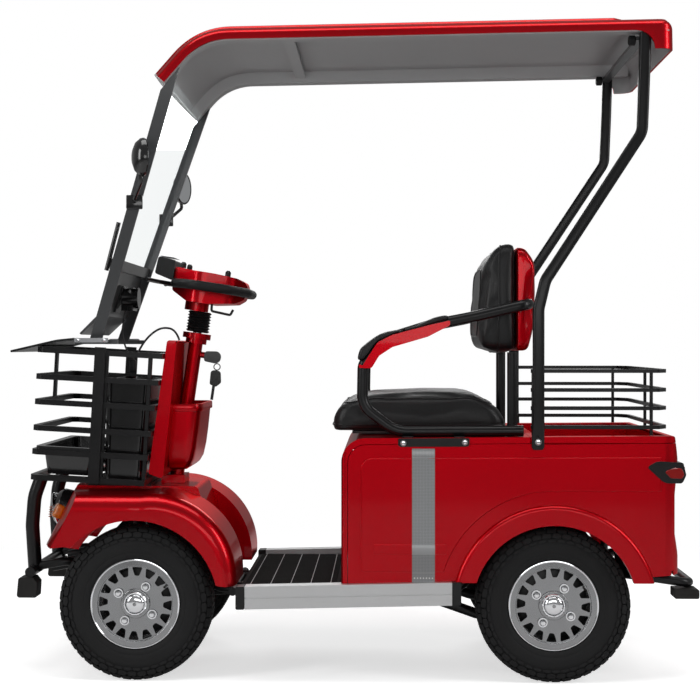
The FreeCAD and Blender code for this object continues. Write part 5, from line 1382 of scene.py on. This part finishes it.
MIRROR_STEM = [((-0.583, -0.272, 1.275), 0.0), ((-0.577, -0.302, 1.281), 0.012),
               ((-0.548, -0.364, 1.320), 0.014), ((-0.552, -0.370, 1.352), 0.0)]
MIRROR_STEM_RADIUS = 0.005
MIRROR_CLAMP = (0.044, 0.010, 0.038)
MIRROR_CLAMP_PLACE = (-0.583, 0.2715, 1.275)
MIRROR_PLACE = (-0.549, 0.368, 1.383)
MIRROR_TURN = math.radians(24)
MIRROR_OVAL = Matrix.Diagonal((0.98, 1.15, 1.0, 1.0))
MIRROR_DOME = [(0, -0.022), (0.018, -0.0205), (0.033, -0.0135), (0.0425, -0.002), (0.0445, 0.007),
               (0.0432, 0.010), (0.0405, 0.010), (0.0400, 0.0075), (0, 0.0075)]
MIRROR_GLASS = [(0, 0.0078), (0.0398, 0.0078), (0.0394, 0.0088), (0, 0.0090)]


def build_mirrors():
    """Domed mirror housings turned in towards the rider, each on a bent stem clamped to its pillar."""
    for label, side in SIDES:
        x, y, z = MIRROR_CLAMP_PLACE
        housing = Maker().block(MIRROR_CLAMP, at(x, side * y, z), 0.003)
        housing.tube(flip(rounded(MIRROR_STEM, 6), side), MIRROR_STEM_RADIUS, 12)
        inward = (math.cos(MIRROR_TURN), -side * math.sin(MIRROR_TURN), 0)
        x, y, z = MIRROR_PLACE
        place = facing((x, side * y, z), inward) @ MIRROR_OVAL
        housing.turned(MIRROR_DOME, 48, place)
        housing.make("mirror_housing_" + label, "chassis", "gloss_black", "black_plastic", ("mirrors",))
        glass = Maker().turned(MIRROR_GLASS, 48, place)
        glass.make("mirror_glass_" + label, "chassis", "mirror", "steel")


BIN_WALL = 0.004
BIN_EDGE = 0.004
BIN_LEVELS = [
    # z, front x, rear x, half width, corner radius
    (0.5425, -0.498, -0.474, 0.100, 0.010), (0.5440, -0.508, -0.466, 0.116, 0.020),
    (0.5520, -0.514, -0.456, 0.126, 0.032), (0.5700, -0.514, -0.4455, 0.132, 0.038),
    (0.6040, -0.514, -0.4375, 0.1345, 0.040), (0.6500, -0.513, -0.4310, 0.135, 0.040),
    (0.7040, -0.513, -0.4255, 0.135, 0.040)]
BIN_LIP = [
    # inset, rise
    (0.0, 0.002), (-0.0052, 0.003), (-0.0062, 0.006), (-0.0062, 0.020), (-0.0045, 0.0235),
    (BIN_WALL - 0.0015, 0.0235), (BIN_WALL, 0.021)]


def bin_ring(level, inset, rise=0.0):
    """Outline of the pocket at one level, drawn in by the inset and raised."""
    z, front, rear, half, radius = level
    front, rear, half = front + inset, rear - inset, half - inset
    corner = max(0.006, radius - inset)
    outline = [((front, -half), BIN_EDGE), ((rear, -half), corner), ((rear, half), corner),
               ((front, half), BIN_EDGE)]
    return [(point.x, point.y, z + rise) for point in rounded(outline, 8, True)]


def build_bin():
    """Moulded pocket with soft rear corners and a rolled lip."""
    top = BIN_LEVELS[-1]
    rings = [bin_ring(level, 0.0) for level in BIN_LEVELS]
    rings += [bin_ring(top, inset, rise) for inset, rise in BIN_LIP]
    rings += [bin_ring(level, BIN_WALL, 0.003) for level in reversed(BIN_LEVELS[1:])]
    Maker().skin(rings).make("bin_shell", "chassis", "red", "red_body", ("storage_bin",))


DISPLAY = (0.040, 0.104, 0.0014)
DISPLAY_PLACE = (-0.089, 0, 0.9350)
KNOB_PLACES = ((-0.038, -0.062, 0.9218), (-0.038, 0.062, 0.9218), (0.088, -0.040, 0.9158))
KNOB_CAP = [(0, 0), (0.0072, 0), (0.0072, 0.0022), (0.0055, 0.0036), (0, 0.0040)]
KNOB_MARK = (0.0100, 0.0020, 0.0012)


def build_tiller_trim():
    """Display on the hood, and a cap with a raised mark on each knob."""
    screen = Maker().block(DISPLAY, at(*DISPLAY_PLACE), 0.0005, 2)
    screen.mesh.transform(STEERING_FRAME)
    screen.make("tiller_display", "steering", "screen", "black_plastic")
    caps = Maker()
    for x, y, z in KNOB_PLACES:
        caps.turned(KNOB_CAP, 24, at(x, y, z))
        caps.block(KNOB_MARK, at(x, y, z + 0.0044), 0.0004, 1)
    caps.mesh.transform(STEERING_FRAME)
    caps.make("tiller_knob_caps", "steering", "gloss_black", "black_plastic")


PILLAR_BAR = [(x, z, 0.003)
              for x, z in ((-0.752, 0.8985), (-0.660, 0.8985), (-0.660, 0.9105), (-0.752, 0.9105))]
PILLAR_BAR_BACK, PILLAR_BAR_FACE = 0.2375, 0.2455
PILLAR_BOLT_PLACES = ((-0.742, 0.9045), (-0.671, 0.9045))


def build_front_trim():
    """Bright bar at each pillar foot, over the basket, with its two bolts."""
    for label, side in SIDES:
        bar = Maker().plate(PILLAR_BAR, side * PILLAR_BAR_BACK, side * PILLAR_BAR_FACE, 0.001)
        bar.make("pillar_bar_" + label, "chassis", "steel", "steel")
        bolts = Maker()
        for x, z in PILLAR_BOLT_PLACES:
            bolts.hexagon(0.0045, 0.004, facing((x, side * PILLAR_BAR_FACE, z), (0, side, 0)))
        bolts.make("pillar_bar_bolts_" + label, "chassis", "chrome", "steel")


LEAD_ROUTE = [(-0.500, -0.014, 0.9054), (-0.509, -0.018, 0.935), (-0.545, -0.024, 0.943),
              (-0.575, -0.028, 0.927), (-0.602, -0.030, 0.897), (-0.621, -0.030, 0.860),
              (-0.631, -0.030, 0.835)]
MOTOR_ROUTE = [(-0.655, -0.014, 0.9896), (-0.660, -0.018, 0.960), (-0.664, -0.024, 0.925),
               (-0.652, -0.026, 0.880), (-0.634, -0.030, 0.846)]
PLUG_PLACE = (-0.631, -0.030, 0.831)
PLUG_BOX = (0.018, 0.016, 0.036)
PLUG_RIB = (0.0186, 0.0166, 0.0020)
PLUG_RIB_LEVELS = (0.8215, 0.8310, 0.8405)
MOTOR_PLUG = [(0, 0), (0.0056, 0), (0.0056, 0.004), (0.0040, 0.014), (0, 0.014)]
MOTOR_PLUG_PLACE = (-0.6335, -0.0300, 0.8475)
MOTOR_PLUG_AIM = (-0.35, 0, 1)


def cord_curve(name, route, diameter):
    """Round lead along a smooth curve near its route."""
    curve = bpy.data.curves.new(name, "CURVE")
    curve.dimensions = "3D"
    curve.bevel_depth = diameter / 2
    curve.bevel_resolution = 4
    curve.resolution_u = 16
    curve.use_fill_caps = True
    spline = curve.splines.new("NURBS")
    spline.points.add(len(route) - 1)
    for point, place in zip(spline.points, route):
        point.co = (*place, 1.0)
    spline.order_u = 3
    spline.use_endpoint_u = True
    curve.materials.append(MATERIALS["cable"])
    piece = bpy.data.objects.new(name, curve)
    bpy.context.scene.collection.objects.link(piece)
    place_piece(piece, "chassis", ("cables",))
    return piece


def build_cords():
    """The column's lead and the wiper motor's lead, with the plugs that they end in."""
    plug = Maker()
    plug.block(PLUG_BOX, at(*PLUG_PLACE), 0.003, 3)
    for z in PLUG_RIB_LEVELS:
        plug.block(PLUG_RIB, at(PLUG_PLACE[0], PLUG_PLACE[1], z), 0.0006, 1)
    box = plug.make("plug_box", "chassis", "plastic", "black_plastic", ("cables",))
    sleeve = Maker().turned(MOTOR_PLUG, 20, facing(MOTOR_PLUG_PLACE, MOTOR_PLUG_AIM))
    motor_plug = sleeve.make("motor_plug", "chassis", "plastic", "black_plastic", ("cables",))
    lead = cord_curve("column_lead", LEAD_ROUTE, 0.006)
    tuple(LEAD_ROUTE[0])
    motor = cord_curve("motor_lead", MOTOR_ROUTE, 0.005)
    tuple(MOTOR_ROUTE[0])


# Operators

class SCOOTER_OT_stage(Operator):
    """Build the floor, lamps, world and camera."""
    bl_idname = "scooter.stage"
    bl_label = "Studio stage"

    def execute(self, context):
        build_stage()
        return {"FINISHED"}


class SCOOTER_OT_finishes(Operator):
    """Build the shared effects and materials and give each node its finish."""
    bl_idname = "scooter.finishes"
    bl_label = "Finishes"

    def execute(self, context):
        build_effects()
        build_materials()
        finish_nodes()
        return {"FINISHED"}


class SCOOTER_OT_wheels(Operator):
    """Build the tyres with their tread and the chrome wheel fittings."""
    bl_idname = "scooter.wheels"
    bl_label = "Tyres and wheels"

    def execute(self, context):
        for place, axle, side in WHEEL_PLACES:
            build_tyre(place, axle, side)
            build_wheel_fittings(place, axle, side)
        return {"FINISHED"}


class SCOOTER_OT_cords(Operator):
    """Build the two leads and the plug box between them."""
    bl_idname = "scooter.cords"
    bl_label = "Cords"

    def execute(self, context):
        build_cords()
        return {"FINISHED"}


class SCOOTER_OT_seat(Operator):
    """Build the seat, the backrest and the armrest pads."""
    bl_idname = "scooter.seat"
    bl_label = "Seat"

    def execute(self, context):
        build_seat()
        build_armrest_pads()
        return {"FINISHED"}


class SCOOTER_OT_roof(Operator):
    """Build the roof top, its posts and the mirrors."""
    bl_idname = "scooter.roof"
    bl_label = "Roof and posts"

    def execute(self, context):
        build_roof()
        build_roof_posts()
        build_mirrors()
        return {"FINISHED"}


class SCOOTER_OT_body(Operator):
    """Build the stripes, armrest brackets, lamps, floor mat and storage bin."""
    bl_idname = "scooter.body"
    bl_label = "Body trim"

    def execute(self, context):
        build_stripes()
        build_arm_brackets()
        build_lamps()
        build_mat()
        build_bin()
        return {"FINISHED"}


class SCOOTER_OT_front(Operator):
    """Build the tiller's display and caps and the bars at the pillar feet."""
    bl_idname = "scooter.front"
    bl_label = "Tiller and front trim"

    def execute(self, context):
        build_tiller_trim()
        build_front_trim()
        return {"FINISHED"}


class SCOOTER_PT_looks(Panel):
    """Lists the scooter's sizes, colours and build steps."""
    bl_label = "Mobility scooter"
    bl_idname = "SCOOTER_PT_looks"
    bl_space_type = "VIEW_3D"
    bl_region_type = "UI"
    bl_category = "Scooter"

    def draw(self, context):
        for group in (context.scene.scooter_colours, context.scene.scooter_sizes):
            for key in group.__annotations__:
                self.layout.prop(group, key)
        for operator in OPERATORS:
            self.layout.operator(operator.bl_idname)


OPERATORS = (SCOOTER_OT_finishes, SCOOTER_OT_stage, SCOOTER_OT_cords, SCOOTER_OT_wheels, SCOOTER_OT_seat,
             SCOOTER_OT_roof, SCOOTER_OT_body, SCOOTER_OT_front)
CLASSES = (ScooterColours, ScooterSizes) + OPERATORS + (SCOOTER_PT_looks,)


def register():
    for entry in CLASSES:
        bpy.utils.register_class(entry)
    bpy.types.Scene.scooter_colours = PointerProperty(type=ScooterColours)
    bpy.types.Scene.scooter_sizes = PointerProperty(type=ScooterSizes)


def unregister():
    del bpy.types.Scene.scooter_sizes
    del bpy.types.Scene.scooter_colours
    for entry in reversed(CLASSES):
        bpy.utils.unregister_class(entry)


def main():
    register()
    for operator in OPERATORS:
        group, name = operator.bl_idname.split(".")
        getattr(getattr(bpy.ops, group), name)()
    bpy.context.view_layer.update()


if __name__ == "__main__":
    main()
